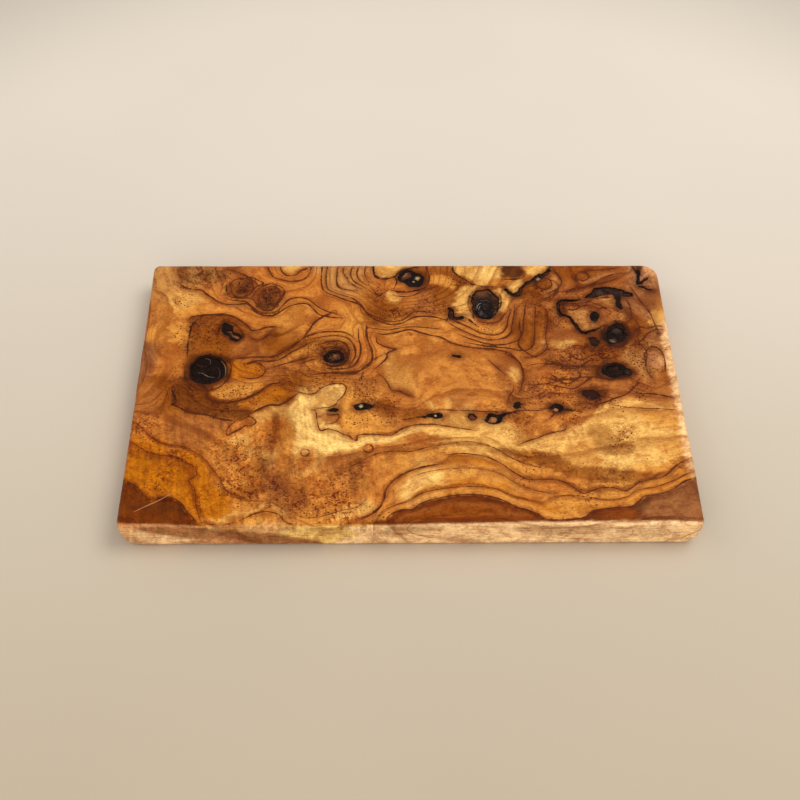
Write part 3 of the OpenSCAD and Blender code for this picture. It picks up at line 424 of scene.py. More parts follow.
# Growth lines: age of the wood there, half width, points. Rings between two lines follow from
# their ages. A line with half width 0 sets the age only, and one with no age is only drawn.
GROWTH = [
    # upper left, from the round knots down to the dead knot
    (6, 0.7,
     "-143 84, -139 79.6, -133 78, -128 77, -125 74, -121 70.4, -117 67, -112 65, -105 64.6, "
     "-100 65.4, -97 63, -94 59, -90 56, -85 55, -81 56, -77 59.4, -73 63, -69 64.6, -65 65.6, "
     "-61 64.6, -58 61, -54 56, -48 54, -40 53"),
    (8, 0.55,
     "-112 69.6, -104 67.6, -100 67, -96 63.4, -92 59, -88 57.4, -83 57.6, -79 60, -76 65, -73 69, "
     "-68 70.4, -63 69.6, -59 67, -55 62.6, -49 58.6, -42 56"),
    (9, 0.4,
     "-114 73, -106 70, -99 70, -95 68, -92.6 63, -88 59.4, -83 60, -79.6 66, -77.6 72, -76.6 77, "
     "-80 81, -86 82.6, -92 80.4, -95 84, -100 89, -107 93, -116 96"),
    (None, 0.6,
     "-109.6 78, -108 73, -104 71, -98.6 72.6, -96.4 77, -96.6 82, -99 86, -103 87.4, -108 86, "
     "-110.6 82, -109.6 78"),
    (None, 0.5,
     "-92 70, -91.6 63, -87.6 60, -83.6 60.6, -81 65, -79 71, -79.6 77, -83 80.4, -87.6 79, -91 75, "
     "-92 70"),
    (5, 0.9,
     "-134 51, -132 54.4, -127 55.4, -120 56, -112 56, -106 54, -101 50, -97 46, -95 43, -90 43.6, "
     "-86 45.6, -81 45.8, -77 45.4"),
    (5, 0,
     "-158 78, -150 72, -146 62, -148 50, -152 40, -150 28, -144 20, -142 10, -146 0, -152 -8, "
     "-160 -12"),
    (3, 0, "-168 80, -166 40, -164 0, -168 -20"),
    # back edge, left
    (12, 0.8, "-81 104, -79.6 96, -77 91, -73.6 89.6, -69.6 90.6, -67 94, -63 96, -61 100"),
    (10, 0.6, "-90 104, -87 95, -84 89, -78 86, -72 84.8, -66 86, -62 90, -60 97, -59 104"),
    # nested rings round the oval knot at the back edge
    (8, 0.7,
     "-53 104, -53.6 88, -53 80, -50.4 75, -44 71.6, -37 68, -31 65.4, -27 61, -24 56, -20 52, "
     "-15 49.4, -10 47.6, -3 48.8, 1 51.6, 5 54, 12 54.4, 18 53.4, 24 51"),
    (9.5, 0.45,
     "-49.6 104, -50.6 90, -50 80, -47 76, -40 72.6, -33 69.4, -28 64, -25 58, -19 54, -12 50.4, "
     "-4 51, 0 54, 4 58, 12 58, 20 56"),
    (11, 0.5, "-42 104, -43.6 92, -43.6 82, -41 78.4, -36 76.8, -31 76.4"),
    (12, 0.4, "-36 104, -40 94, -37 87, -36 84, -32 80.4, -28 78"),
    (13, 0.5, "-32 104, -35 93, -34.4 87, -32 83.6, -28.6 81, -26 79"),
    (14, 0.4, "-28 104, -31 94, -30.6 88, -28 84, -25 81.4"),
    (15, 0.4, "-24 104, -26.4 94, -25.4 88, -24 84"),
    (16, 0.7,
     "-21 104, -20.8 94, -19.6 89, -16 86.6, -11 87, -7 89.4, -2.6 93.4, 3 96, 8 97.4, 12 100"),
    (17, 0.6, "-12 78, -9 76.6, -5 75, 0 74.8, 6 76.6, 11 78.6, 13.6 83, 14.6 89, 13 97, 15 104"),
    (15, 0.5, "-9 73.6, -6 71.8, -1 71.2, 4 72.2, 9 75.6, 14 78, 20 80"),
    # middle
    (8, 0.5, "-24 45, -18 43.8, -12 43, -7 44, -1 45.4, 5 45.6, 11 45, 17 44, 22 43.4"),
    (6, 0.7,
     "-20 41, -16 39.6, -11 40, -5 41.6, 0 43.2, 3 43, 8 40.8, 14 38.6, 20 37, 24 34, 28 31.6, "
     "34 29.6, 42 28, 52 27, 59 25, 64 20.6, 67.4 14, 68.2 7, 67 0, 65 -6"),
    (6, 0.7,
     "-19.4 38, -18.4 33, -15 30, -11 28.4, -7 27.6, -9 26, -12 24.6, -13 20, -16 16, -19 12.6, "
     "-21.6 9"),
    (6, 0.6, "-18 7.6, -15.4 5.6, -13 2, -11.4 -2, -9.6 -5.2, -5.4 -5.6, -2 -7.8, 1 -9.4, 3 -10.4"),
    (7.5, 0.9, "-25 47, -25 40, -24 34, -22 27, -21.4 20, -23.4 14.6, -29 10.4, -36 9, -48 8.8, -58 7"),
    (9, 0.6, "-30 44, -29.6 36, -28.6 30, -29 22, -33 14, -42 11.6, -52 13"),
    (10, 0.6, "-58 36, -50 38, -42 38.4, -36 36, -32.4 30, -31.6 22, -35 15"),
    (12, 0.8, "-54 31, -48 33.4, -41 34, -36.6 30, -35.4 23, -38 16, -45 14, -52 17"),
    # fan of lines between the dead knot and the eye knot
    (6, 0.9,
     "-108 19, -100 20.4, -91 21.4, -82 21.4, -76 24.6, -70 29.4, -64 36, -60 43, -57 49, -52 54, "
     "-45 58"),
    (7, 0.7, "-80 22, -72 28, -66 34, -60 38.4, -54 41, -46 42, -38 41, -32 36"),
    (7, 0.6, "-98 16, -90 18.4, -82 18, -76 20, -70 25, -62 30.6, -56 34.6"),
    (8, 0.6, "-84 12, -76 15, -68 18, -60 20.6, -54 22"),
    (6, 0.5, "-96 38, -92 35, -88 36, -84 40, -83 44"),
    # right of the middle
    (7, 0.6, "24 50, 30 45, 36 41, 44 36.6, 52 35, 59 36.6, 63 41, 64.4 48, 66 56, 67 63"),
    (8, 0.5, "26 52, 32 48.6, 38 45, 44 41, 51 38.6, 57 40, 60.6 45, 62 52, 64.6 60"),
    (9, 0.6, "44 50, 50 48.6, 56 50, 59.6 55, 62.4 59"),
    (6.5, 0.6, "30 40, 38 35.6, 48 31.6, 58 31, 66 34, 70 40, 71.4 50, 73 60, 74 66"),
    (6, 0.5, "34 33, 46 30, 60 28, 69 26, 75 29, 77 36, 78 46, 79 56, 80 64"),
    (7, 0.5, "70 20, 78 22, 84 28, 84 38, 86 48, 87 58"),
    (8, 0.6, "82 68, 88 70, 94 76, 98 84, 95 92, 93 98"),
    (9, 0.5, "100 74, 108 77, 116 81, 122 86, 130 90, 140 92"),
    (10, 0.5, "110 92, 116 94, 126 94.6, 138 97"),
    (None, 0.6, "108 90, 109.6 92.4, 113 92.6, 115.6 90, 115 86.6, 111.6 85, 108.6 86.6, 108 90"),
    (8, 0.5, "140 82, 143 74, 146 66, 150 58, 152 48, 154 38"),
    (7, 0.4, "135 58, 140 52, 142 44, 140 34, 144 24, 142 12, 146 0"),
    (6, 0.4, "70 14, 82 16, 94 14, 106 13, 114 14"),
    (5.5, 0.4, "68 -1, 76 -1, 86 1, 98 4, 108 5, 116 3"),
    (5, 0.5, "62 -2, 61 -6, 58.6 -10, 57 -16"),
    # bottom of the burl, left
    (4, 0.9,
     "-118 -4, -118 -9, -114.6 -12.6, -109 -14, -102 -13.2, -97 -11.6, -92 -9, -87 -5.4, -84 -2, "
     "-80 0.4, -74 1"),
    (2, 0.9,
     "-137 -1, -137.6 -8, -135.6 -13, -137 -15, -133 -17.4, -129 -20, -124 -21.6, -118 -22.6, "
     "-114 -24, -109 -26, -103.6 -27, -100 -28"),
    (2, 0.6,
     "-100 -28, -103 -31, -104.6 -34.4, -104 -38, -101 -36, -97 -33.4, -94 -31, -91 -31.2, "
     "-88.2 -28.6, -90 -25.6, -93 -24.4, -97 -26.4"),
    (3, 0.8, "-93 -23, -88 -19.6, -84 -17, -80 -15.6, -76 -16, -72 -13.6, -68 -10, -64 -6"),
    # outline of the cream sapwood
    (4, 0.45,
     "-64 -6.4, -59 -7.4, -55 -7, -51 -3, -45 0.2, -39 0.2, -36.8 -2.6, -37.6 -7, -39.4 -10.6, "
     "-41.4 -12.6, -42.6 -15.4, -46 -17.4, -51 -18.2, -56.6 -19.2"),
    (4, 0.4,
     "-56.6 -19.4, -54 -21, -53.4 -26, -52.4 -31, -51 -34.8, -47 -33.6, -44 -34.4, -41 -35.4, "
     "-38 -37.6, -34.6 -38.6, -32.6 -41, -30.2 -42, -29.8 -38.4, -25 -37.4, -18 -37.8, -11 -38.2, "
     "-8 -36.4, -4 -33.2, 2 -31, 9 -30.4, 15 -30.6, 22 -32, 30 -33.6, 38 -35"),
    (4, 0.5, "-50 -22.6, -46 -23.4, -41 -23, -41 -26, -44 -29.4, -49 -30"),
    (4, 0.4, "17 -19.6, 25 -20, 34 -20.4, 44 -21, 52 -21.4, 58 -22, 64 -20.4, 74 -20.6, 80 -19"),
    (4, 0.5, "61 -46, 66 -43.2, 73 -40.6, 78 -38, 84 -36.2, 89 -34.8, 90.4 -31"),
    (4, 0.35, "87 -20.6, 84 -23.4, 80.6 -27, 77 -28.6"),
    (4, 0.35, "116 -16, 126 -18, 136 -19, 146 -19.4, 154 -20"),
    # bands of the arch
    (2.5, 0.3,
     "-36 -62, -28 -57, -20 -52, -10 -49.6, 0 -50, 10 -47, 22 -44.6, 32 -43, 42 -45, 50 -49, 56 -54, "
     "64 -58.6, 74 -62"),
    (2, 0.6,
     "-31 -96, -24 -94, -18 -89, -15 -83, -14.4 -78, -12.6 -74, -9 -69.6, -4 -65.6, 2 -62.6, 10 -60, "
     "18 -58.6"),
    (2, 0.4,
     "19 -52.6, 27 -51.6, 35 -52, 43 -54, 50 -58, 55 -62.4, 60 -66.6, 66 -69.8, 72 -70, 78 -69.8, "
     "84 -71, 90 -75, 95 -79.4, 99 -78, 105 -75.8, 112 -75.6, 118 -77.8, 122 -76, 127 -72, 134 -70, "
     "140 -68.6, 145 -65, 150 -60, 156 -56"),
    (1, 0.25,
     "-20 -97, -15 -90, -8 -86.6, -1 -84, 4 -80, 10 -77.4, 20 -75.4, 32 -74.4, 45 -75.4, 52 -79, "
     "58 -82, 66 -84, 72 -86.6"),
    (1, 0.25, "76 -82, 86 -80.6, 98 -82, 108 -84, 118 -82, 126 -77, 136 -75, 148 -70, 158 -64"),
    (1.5, 0.2, "0 -68, 10 -64, 24 -62, 38 -62, 50 -66, 58 -72, 68 -77, 80 -79.6"),
    (0, 0.5,
     "-17 -100, -14 -96.6, -11 -92.6, -5 -90, 1 -89.6, 4 -86.6, 9 -84, 18 -81.4, 28 -79.8, 40 -80.4, "
     "50 -83.6, 57 -88, 64 -90.6, 69 -93, 73 -96.6, 84 -97, 94 -95.4, 98 -92, 104 -90, 112 -89, "
     "120 -88.6, 125 -85, 129 -81.4, 137 -80, 144 -77.6, 150 -73, 156 -70, 166 -69"),
    (-2, 0, "0 -104, 40 -104, 80 -108, 160 -104"),
    # amber wood at the lower left
    (1, 0.25,
     "-163 -36, -158 -42, -152 -46.6, -147 -50, -140 -52, -132 -52.6, -126 -57, -121 -60, -119 -66, "
     "-123 -70, -119 -76, -118 -84, -116 -92, -113 -99"),
    (0, 0.35,
     "-166 -60, -158 -69, -151 -74, -147 -79, -143 -82.2, -138 -81, -132 -81, -128 -83, -125 -86, "
     "-122.6 -90, -119 -94, -116 -98, -114 -101"),
    (2, 0.15,
     "-160 -24, -150 -36, -140 -44, -128 -46, -118 -52, -112 -60, -106 -68, -102 -76, -96 -80"),
    (3, 0, "-140 -24, -126 -32, -112 -40, -100 -52, -92 -64, -84 -76"),
    (1, 0.4,
     "-114 -98, -104 -99.6, -96 -97.6, -90 -94.6, -84 -91.4, -78 -90.6, -72 -93, -68 -98, -60 -100"),
    (3, 0, "-88 -50, -84 -58, -80 -68, -74 -74, -66 -80, -62 -90"),
    (2.4, 0, "-52 -66, -42 -70, -34 -68, -26 -62"),
    (2.6, 0.25, "-66 -92, -56 -95, -46 -93, -38 -90, -30 -88, -24 -82"),
    # rings round the dead knots
    (None, 0.7, "-133 14, -131 3, -125 -3, -118 -5, -110.6 -1.6, -106.4 5, -105.6 12"),
    (None, 0.5, "-106 4, -105 12, -107 18, -112 22.4"),
    (None, 0.6, "-116 36, -114 46, -111 50, -106 48.6, -102 44, -99.6 38, -103 33.4"),
    (None, 0.5, "-52 22, -50 28, -44.6 29.6, -39 27.6, -37 22, -39 16.6, -44 14.8"),
    (None, 0.5, "-98 14, -92 17, -87 15, -85 10, -88 5.6, -94 4.4, -99 6"),
    (None, 0.5, "-104 86, -98 88.4, -93 85.4, -90 83, -94 80, -97 75, -101 72.4"),
    (None, 0.4, "-96 70, -94 76, -90 80, -85 82.4, -79 80, -76 75, -79 66, -80 61"),
    (None, 0.5, "137 60, 139 56, 137 51, 133 48"),
    (None, 0.5, "105 88, 108 84, 107 88, 109 92, 112 93"),
    (None, 0.5, "96 92, 98 86, 96.6 80, 92 76, 86 72"),
    (None, 0.5, "116 81, 112 79, 106 78, 99 75, 94 76"),
    (None, 0.4, "78 12, 84 15, 90 14, 96 12"),
    (None, 0.4, "80 5, 86 3, 92 4, 98 2"),
    # contours of the burl at the right
    (None, 0.6, "135.5 70, 138 65, 139 56.5, 137.5 51, 134 48.5"),
    (None, 0.6, "97 61, 103 59.5, 108.5 62.5, 113.5 63, 118 61, 122 61, 126.5 58"),
    (None, 0.6, "96 64.5, 102.5 65, 109 65.5, 114 66.5, 117 65, 124 61.5, 129 61"),
    (None, 1.0, "122 46, 119 40, 119.5 34.5, 123.5 30, 128.5 28.5, 132 32.5, 134.6 40, 133 46"),
    (None, 0.65, "137 38, 142.5 45, 147 44, 153 46, 159 45"),
    (None, 0.6, "139 31, 143.5 35.5, 147 40, 152 43, 158 43"),
    (None, 0.6, "142.5 14, 142 21, 144 26, 148.5 29, 152.6 26, 154 18, 153 9"),
    (None, 0.6, "97 29, 103 30, 109 28.5, 113 25.5, 117 26.5, 124 27.5"),
    (None, 0.65, "96 24, 103 18.5, 109.5 21.5, 113.5 22.5, 119 19.5, 126 21"),
    (None, 0.65, "80 19, 86 17, 91 15.5, 96.5 11.5, 102.5 13, 109 18, 114 18"),
    (None, 0.6, "82 9, 87 5, 92.5 0, 97.5 1.5, 102 6.5, 100.5 11.5"),
    (None, 0.6, "80 0, 89 -2.5, 97 -4, 103 0, 109.5 5, 115.5 4"),
    (None, 0.6, "97 75, 105 78, 111.5 79.5, 119 81.5, 128.5 84.5, 137.5 89"),
    (None, 0.6, "89 68, 94 74, 95.5 79.5, 94 84, 90 86.5"),
    (None, 1.0, "116 13, 113 11, 112 7.5, 114.5 4.6, 119.5 3, 125 4.4, 131.5 6, 134 9"),
    (None, 0.6, "130 -5, 135.5 -8, 141.5 -8, 147.5 -9, 156 -11.5"),
    (None, 0.6, "108 -17, 115.5 -14, 120.5 -11.5, 128 -8, 133.5 -2.5, 137 3"),
    (None, 0.6, "85.5 87, 90 86, 91.5 81, 88 77.5, 83 79, 81.5 83.5, 85.5 87"),
    (None, 0.6, "69.5 52.5, 68.5 45.5, 69 38.5, 67 30.5, 72.5 23.5, 78 19.5"),
    (None, 0.6, "48 18.5, 52.5 13, 58 6.5"),
    (None, 0.65, "57.5 24, 64 19.5, 67.5 14.5, 68 6.5, 67 2"),
    (None, 0.6, "-64.5 15.5, -60 18, -56.5 19, -52 17"),
    (None, 0.65, "-49.5 8, -40 8, -33 8, -29.5 9.5, -26 14, -23 16.5, -20 19.5, -14 23.5"),
    # small rings in the sapwood
    (None, 0.6,
     "-26 -46.4, -24 -44.8, -21.6 -46, -21 -48.6, -23 -50.6, -25.4 -50, -26.4 -48, -26 -46.4"),
    (None, 0.5, "-61.6 -49, -60 -48, -57.6 -48.6, -57 -51, -59 -53, -61.4 -52, -61.6 -49"),
]

# Dark bark-coloured seams grown into the wood: half width, points
SEAMS = [
    (0.9, "-20.4 100, -20.6 93, -19 88.8, -15 87, -10 87.4, -7 89, -3 92.6, 1 95.4, 7 97.6"),
    (0.7, "-10 77, -4 75.6, 2 75.6, 8 77, 12.6 80, 14 84"),
    (1.0, "93 56, 94 53.4, 99 54.4, 100.4 51"),
    (1.1, "117.6 45, 119 41, 118 36, 116 33"),
    (1.2, "132 60, 133.4 64, 131.6 68"),
    (0.9, "133 50, 134.4 46, 132.6 42"),
    (1.6, "109.2 -24.8, 111 -25.2"),
    (0.9, "81 -26, 83.4 -23, 84.4 -21"),
    (0.8, "-137.6 1, -138.6 -5, -136 -10, -137 -14"),
    (0.8, "-134 46, -131 47, -129 51, -126 54"),
    (0.9, "30 104, 29.6 96, 30.6 92, 34 88.6, 38 85, 41.6 82, 46 80.6"),
    (0.7, "44 81, 50 79.8, 56 79.4, 60 79"),
    (1.2, "62 86, 70 86.6, 74 88, 75 90"),
    (1.3, "92 104, 91.6 97, 88 91, 83.4 87.6"),
    (0.7, "42 76.6, 39.6 72, 38 66, 38.6 61, 40.4 56, 41.4 51"),
    (0.8, "57 60, 58.6 66, 58.6 71, 56.6 76"),
    (1.3, "26.4 63, 27 58, 26.6 54, 24 51"),
    (1.1, "34 54, 38 52, 40 49, 43 46"),
    (1.0,
     "108 69, 103 67.6, 97 67.6, 94 66, 93.8 60, 94.6 54.6, 99.6 54, 102.2 49, 104 43.6, 106.6 39.8"),
    (1.3, "110 41, 115 43, 118 45, 121 47"),
    (1.2, "133 50, 131 46, 132 40"),
    (0.8, "114 71, 120 69.4, 124 70.4, 130 70"),
    (1.4, "-21 77, -18 72.6, -16 73, -12 76.6"),
    (0.6, "8 -24.8, 2 -25.6, -4 -27"),
    (1.5, "76 -19, 82 -18.6, 90 -19.6, 100 -21.6"),
    (1.0, "52 -24.6, 58 -22.6, 62 -22"),
    (1.0, "-138 -15, -133 -17.6, -128 -21"),
    (0.9, "-132 20, -132.6 30, -132 44, -131 50"),
    (0.6, "-8 78, -6 84, -7 89, -3 94, 4 97"),
    (1.2, "144.6 104, 145 96, 147 90, 146 84"),
    (1.3, "-26.6 9, -28 5, -27 1"),
    (0.9, "-113 82, -112.4 76, -111 73"),
]

# A shallow scratch across the front left corner: half width, points
SCRATCH = (0.3, "-151 -90.4, -143.5 -86, -136.5 -81.8, -131 -77.6")

# Clusters of small dark eyes: x, y, radius, density
SPECKLES = [
    (-136, 90, 9, 1.0), (-124, 90, 9, 1.0), (-116, 90, 5, 0.8), (-140, 66, 6, 1.0), (-138, 40, 6, 0.9),
    (-135, 30, 5, 0.9), (-128, 48, 6, 0.9), (-120, 38, 8, 0.9), (-118, 32, 6, 0.8),
    (-103, 79.5, 5.5, 3.2), (-85, 75, 5, 3.4), (-87, 64, 4.5, 3.4), (-136, -6, 6, 1.1),
    (-128, -14, 6, 0.9), (-94, -10, 6, 1.1), (-108, -4, 8, 0.7), (-90, 12, 5, 0.8), (-76, -12, 4, 0.9),
    (-60, -3, 6, 0.8), (-44, 24, 8, 1.2), (-36, 13, 4, 0.9), (-26, -4, 7, 1.1), (-22, -8, 5, 1.1),
    (-30, -30, 6, 0.7), (-15, -16, 7, 1.3), (-16, -26, 5, 0.9), (-28, 5, 3, 1.0), (-18, 70, 6, 0.9),
    (-20, 78, 5, 0.9), (-10, 56, 7, 0.9), (8, 60, 6, 0.8), (14, 66, 6, 0.7), (48, 43, 7, 0.8),
    (36, 82, 5, 0.8), (85, 60, 6, 0.6), (86, 46, 6, 0.7), (104, 62, 7, 0.9), (112, 62, 6, 0.8),
    (108, 50, 6, 0.7), (132, 54, 5, 0.8), (98, 24, 10, 1.1), (112, 22, 8, 1.0), (124, 24, 8, 1.0),
    (136, 20, 6, 1.1), (142, 38, 7, 1.0), (146, 32, 6, 0.9), (104, 9, 8, 1.1), (92, 2, 8, 0.8),
    (76, -6, 7, 0.9), (68, -14, 6, 0.9), (98, -14, 6, 1.0), (106, -16, 6, 0.9), (116, -10, 6, 0.8),
    (138, 8, 5, 0.9), (136, -8, 4, 1.2), (138, -2, 4, 0.9), (94, -28, 6, 0.7), (66, -24, 5, 0.8),
    (60, -38, 5, 0.8), (122, -36, 8, 0.9), (118, -46, 6, 0.8), (136, -56, 4, 0.8), (70, -54, 6, 0.6),
    (64, -66, 6, 0.8), (90, -64, 6, 0.6), (-156, -34, 6, 0.9), (-150, -26, 5, 0.8), (-148, -46, 7, 0.8),
    (-130, -52, 5, 0.9), (-142, -74, 6, 0.9), (-96, -46, 6, 0.7), (-84, -54, 5, 1.0),
    (-104, -74, 6, 0.9), (-118, -88, 4, 0.9), (-92, -82, 6, 0.6), (-46, -92, 7, 0.9),
    (-54, -84, 6, 0.7), (-36, -78, 6, 0.7), (-70, -82, 5, 0.6), (96, -80, 4, 0.9), (85, -90, 6, 0.6),
    (100, -88, 4, 0.8), (-132, 28, 4, 1.4), (-131, 36, 4, 1.4), (-131, 44, 4, 1.4), (-128, 52, 5, 1.2),
    (-139, 69, 6, 1.0), (-135, 66, 3, 1.4), (-126, 90, 7, 1.3), (-137, 84, 6, 1.4), (-115, 90, 4, 1.4),
    (-104, 80, 5, 1.4), (-85, 74, 6, 1.4), (-87, 64, 5, 1.4), (-138, -2, 5, 1.4), (-135, -12, 4, 1.3),
    (-124, -20, 4, 1.2), (-94, -12, 5, 1.4), (-90, -8, 5, 1.0), (-100, -4, 7, 0.9), (-64, -2, 4, 1.2),
    (-70, 2, 5, 0.9), (-54, 0, 5, 0.9), (-20, 82, 4, 1.3), (-18, 70, 5, 1.3), (-8, 56, 6, 1.2),
    (8, 62, 5, 1.0), (50, 44, 5, 1.1), (34, 84, 5, 1.2), (86, 24, 6, 1.2), (96, 22, 6, 1.3),
    (106, 22, 6, 1.3), (116, 23, 6, 1.3), (134, 24, 5, 1.3), (106, 8, 6, 1.4), (138, 18, 4, 1.4),
    (141, 6, 4, 1.2), (137, -8, 3, 1.6), (72, -8, 6, 1.3), (80, -6, 6, 1.2), (96, -12, 5, 1.3),
    (64, -8, 4, 1.3), (74, 2, 6, 0.9), (88, 4, 6, 1.0), (145, 30, 5, 1.1), (152, 26, 4, 1.0),
    (-150, -28, 4, 1.4), (-156, -32, 4, 1.3), (-143, -18, 5, 0.9), (124, -38, 5, 1.3),
    (90, -28, 6, 0.9), (66, -22, 4, 1.3), (98, -22, 4, 1.3), (-16, -22, 5, 1.4), (-11, -13, 5, 1.4),
    (-22, 0, 4, 1.3), (-26, -5, 4, 1.3), (112, 23, 4, 1.6), (120, 23, 4, 1.5), (105, 18, 4, 1.6),
    (103, 11, 4, 1.5), (91, 13, 5, 1.4), (88, 0, 5, 1.4), (94, -10, 5, 1.4), (91, -15, 4, 1.4),
    (137, -7, 3, 2.4), (135, -10, 3, 2.4), (142, 13, 5, 1.5), (143, 20, 4, 1.3), (-27, 6, 2.5, 2.6),
    (-27, 0, 1.5, 2.0), (-31, 1, 2.5, 1.7), (-31, -8, 3, 1.5), (-21, -2, 4, 2.0), (-20, -8, 3, 2.0),
    (-14, -16, 5, 2.6), (-10, -20, 4, 2.4), (-12, -26, 5, 2.0), (-33, -27, 3, 1.5), (-32, -32, 2, 1.7),
    (-103, 79, 5, 2.0), (-86, 74, 5, 2.0), (-87, 64, 4, 2.0), (-44, 25, 9, 1.6), (-44, 16, 6, 1.4),
    (-56, 28, 5, 1.0), (-62, 32, 5, 0.9), (-132, 40, 3.5, 1.6), (-131, 50, 4, 1.4), (-118, 52, 6, 0.9),
    (-112, 30, 6, 0.9), (-138, 10, 5, 1.0), (-136, 2, 5, 1.2), (-84, -4, 6, 1.0), (-76, 2, 5, 0.9),
    (-44, 4, 5, 1.0), (-36, 2, 4, 1.0), (20, 60, 6, 0.9), (76, 66, 6, 0.9), (92, 50, 6, 0.9),
    (78, 30, 5, 0.9), (88, 14, 6, 0.9), (118, 12, 5, 1.0), (130, 32, 5, 1.2), (146, 52, 5, 1.0),
    (150, 8, 5, 0.9), (62, -14, 5, 1.0), (84, -20, 5, 0.9), (104, -10, 5, 1.0), (120, -16, 5, 0.9),
    (-96, -54, 6, 0.8), (-112, -44, 6, 0.8), (-76, -74, 6, 0.8), (-60, -88, 6, 0.8), (-20, -92, 5, 0.9),
    (30, -62, 5, 0.6), (120, -68, 6, 0.7), (-4, -48, 5, 0.5),
]

# Burl with brown blotches: x, y, radius, strength
BLOTCHES = [
    (-103, 79.5, 5, 1.0), (-85, 74.5, 5, 1.0), (-87, 64, 4, 1.0), (-128, 90, 14, 1.0),
    (-44, 24, 11, 0.9), (-103, 79, 6, 1.3), (-85, 70, 8, 1.3), (-120, 42, 13, 0.9), (-128, -6, 10, 0.9),
    (-108, -18, 12, 0.8), (-96, -6, 8, 0.6), (-70, 12, 14, 0.7), (-50, 6, 10, 0.7), (-44, 22, 9, 0.9),
    (-18, 74, 8, 0.9), (-8, 58, 10, 0.9), (16, 66, 12, 0.8), (34, 82, 8, 0.8), (30, 56, 7, 1.0),
    (82, 60, 14, 0.8), (85, 78, 9, 0.9), (108, 62, 12, 1.0), (130, 54, 10, 1.0), (140, 30, 16, 0.8),
    (115, 24, 14, 1.0), (96, 20, 12, 0.9), (90, 2, 12, 0.8), (108, -12, 12, 0.9), (78, -8, 12, 0.8),
    (136, -4, 9, 0.8), (-22, -16, 12, 0.8), (-30, -6, 9, 0.7), (0, -22, 12, 0.5), (52, -22, 12, 0.7),
    (66, -30, 10, 0.7), (92, -28, 10, 0.7), (122, -40, 12, 0.7), (-150, -32, 14, 0.9),
    (-132, -54, 12, 0.8), (-140, -70, 12, 0.7), (-100, -50, 18, 0.9), (-92, -72, 18, 1.0),
    (-70, -84, 16, 0.9), (-46, -78, 16, 1.0), (-30, -64, 12, 0.7), (-36, -92, 12, 0.8),
    (-60, -58, 10, 0.6), (70, -58, 16, 0.6), (110, -66, 16, 0.6), (20, -46, 14, 0.4),
    (-115, -84, 10, 0.6), (-80, -40, 12, 0.7), (96, -84, 12, 0.5), (150, -60, 8, 0.8),
    (150, 84, 10, 0.9), (110, 88, 14, 0.6), (-140, 66, 8, 0.6), (40, 10, 18, 0.3), (60, -4, 8, 0.6),
]


def paint_tones():
    """Soft ground colours, blended between the listed tones along wavering borders."""
    sheet = Sheet((0.0, 0.0, 0.0))
    x = sheet.x + 3 * waves(sheet.x, sheet.y, 22, 1)
    y = sheet.y + 3 * waves(sheet.x, sheet.y, 22, 2)
    total = np.zeros(x.shape)
    for tx, ty, name in TONES:
        weight = 1 / (((x - tx) ** 2 + (y - ty) ** 2) / TONE_SPREAD ** 2 + 0.3) ** 2.4
        sheet.value += weight[..., None] * linear(INK[name])
        total += weight
    sheet.value /= total[..., None]
    return sheet


def edge_gap(x, y, outline):
    """Distance of each place from the nearest edge of a closed outline."""
    distance = np.full(x.shape, 99.0)
    for a, b in zip(outline, np.roll(outline, -1, axis=0)):
        run = b - a
        t = np.clip(((x - a[0]) * run[0] + (y - a[1]) * run[1]) / max(run @ run, 1e-9), 0, 1)
        distance = np.minimum(distance, np.hypot(x - a[0] - t * run[0], y - a[1] - t * run[1]))
    return distance


def paint_patches(sheet):
    """Patches with an edge, laid over the ground colours in turn."""
    free = np.clip((sheet.y + 99) / 3, 0.1, 1)     # the front's edge stays straight
    x = sheet.x + free * (0.7 * waves(sheet.x, sheet.y, 5, 3) + 0.3 * waves(sheet.x, sheet.y, 2.4, 4))
    y = sheet.y + free * (0.7 * waves(sheet.x, sheet.y, 5, 5) + 0.3 * waves(sheet.x, sheet.y, 2.4, 6))
    for name, soft, opacity, points in PATCHES:
        outline = spline(points, 2.0, closed=True)
        margin = 3 * soft + 3
        part = sheet.window(outline.min(0) - margin, outline.max(0) + margin)
        px, py = x[part], y[part]
        where = inside(np.column_stack([px.ravel(), py.ravel()]), outline).reshape(px.shape)
        distance = edge_gap(px, py, outline)
        signed = np.where(where, distance, -distance)
        share = np.clip(signed / (1.6 * soft) + 0.5, 0, 1)
        cover = opacity * share ** 2 * (3 - 2 * share)
        sheet.value[part] += cover[..., None] * (linear(INK[name]) - sheet.value[part])
    return sheet


def paint_bands(sheet):
    """Soft bands laid over the patches, strongest on their path."""
    for name, half_width, opacity, points in BANDS:
        path = spline(points, 1.0)
        part = sheet.window(path.min(0) - 3 * half_width, path.max(0) + 3 * half_width)
        px, py = sheet.x[part], sheet.y[part]
        px = px + 1.2 * waves(px, py, 12, 8)
        py = py + 1.2 * waves(px, py, 12, 9)
        distance, _ = gap_to(np.column_stack([px.ravel(), py.ravel()]), path)
        cover = opacity * np.exp(-(distance.reshape(px.shape) / half_width) ** 2)
        sheet.value[part] += cover[..., None] * (linear(INK[name]) - sheet.value[part])
    return sheet


def line_gap(points, lines, share=1.0):
    """Distance of each point from the nearest line, less half its width. Lines thin out to their ends.

    Each line is half its width and its points; the share makes all of them finer.
    """
    dense, widths = [], []
    for half_width, corners in lines:
        line = spline(corners, 0.25)
        run = np.concatenate([[0], np.cumsum(np.hypot(*np.diff(line, axis=0).T))])
        taper = np.clip(np.minimum(run, run[-1] - run) / 6, 0.25, 1)
        uneven = 1 + 0.35 * waves(line[:, 0], line[:, 1], 9, 7)
        dense.append(line)
        widths.append(share * half_width * taper * uneven)
    distance, nearest = gap_to(points, np.vstack(dense))
    return distance - np.concatenate(widths)[nearest]


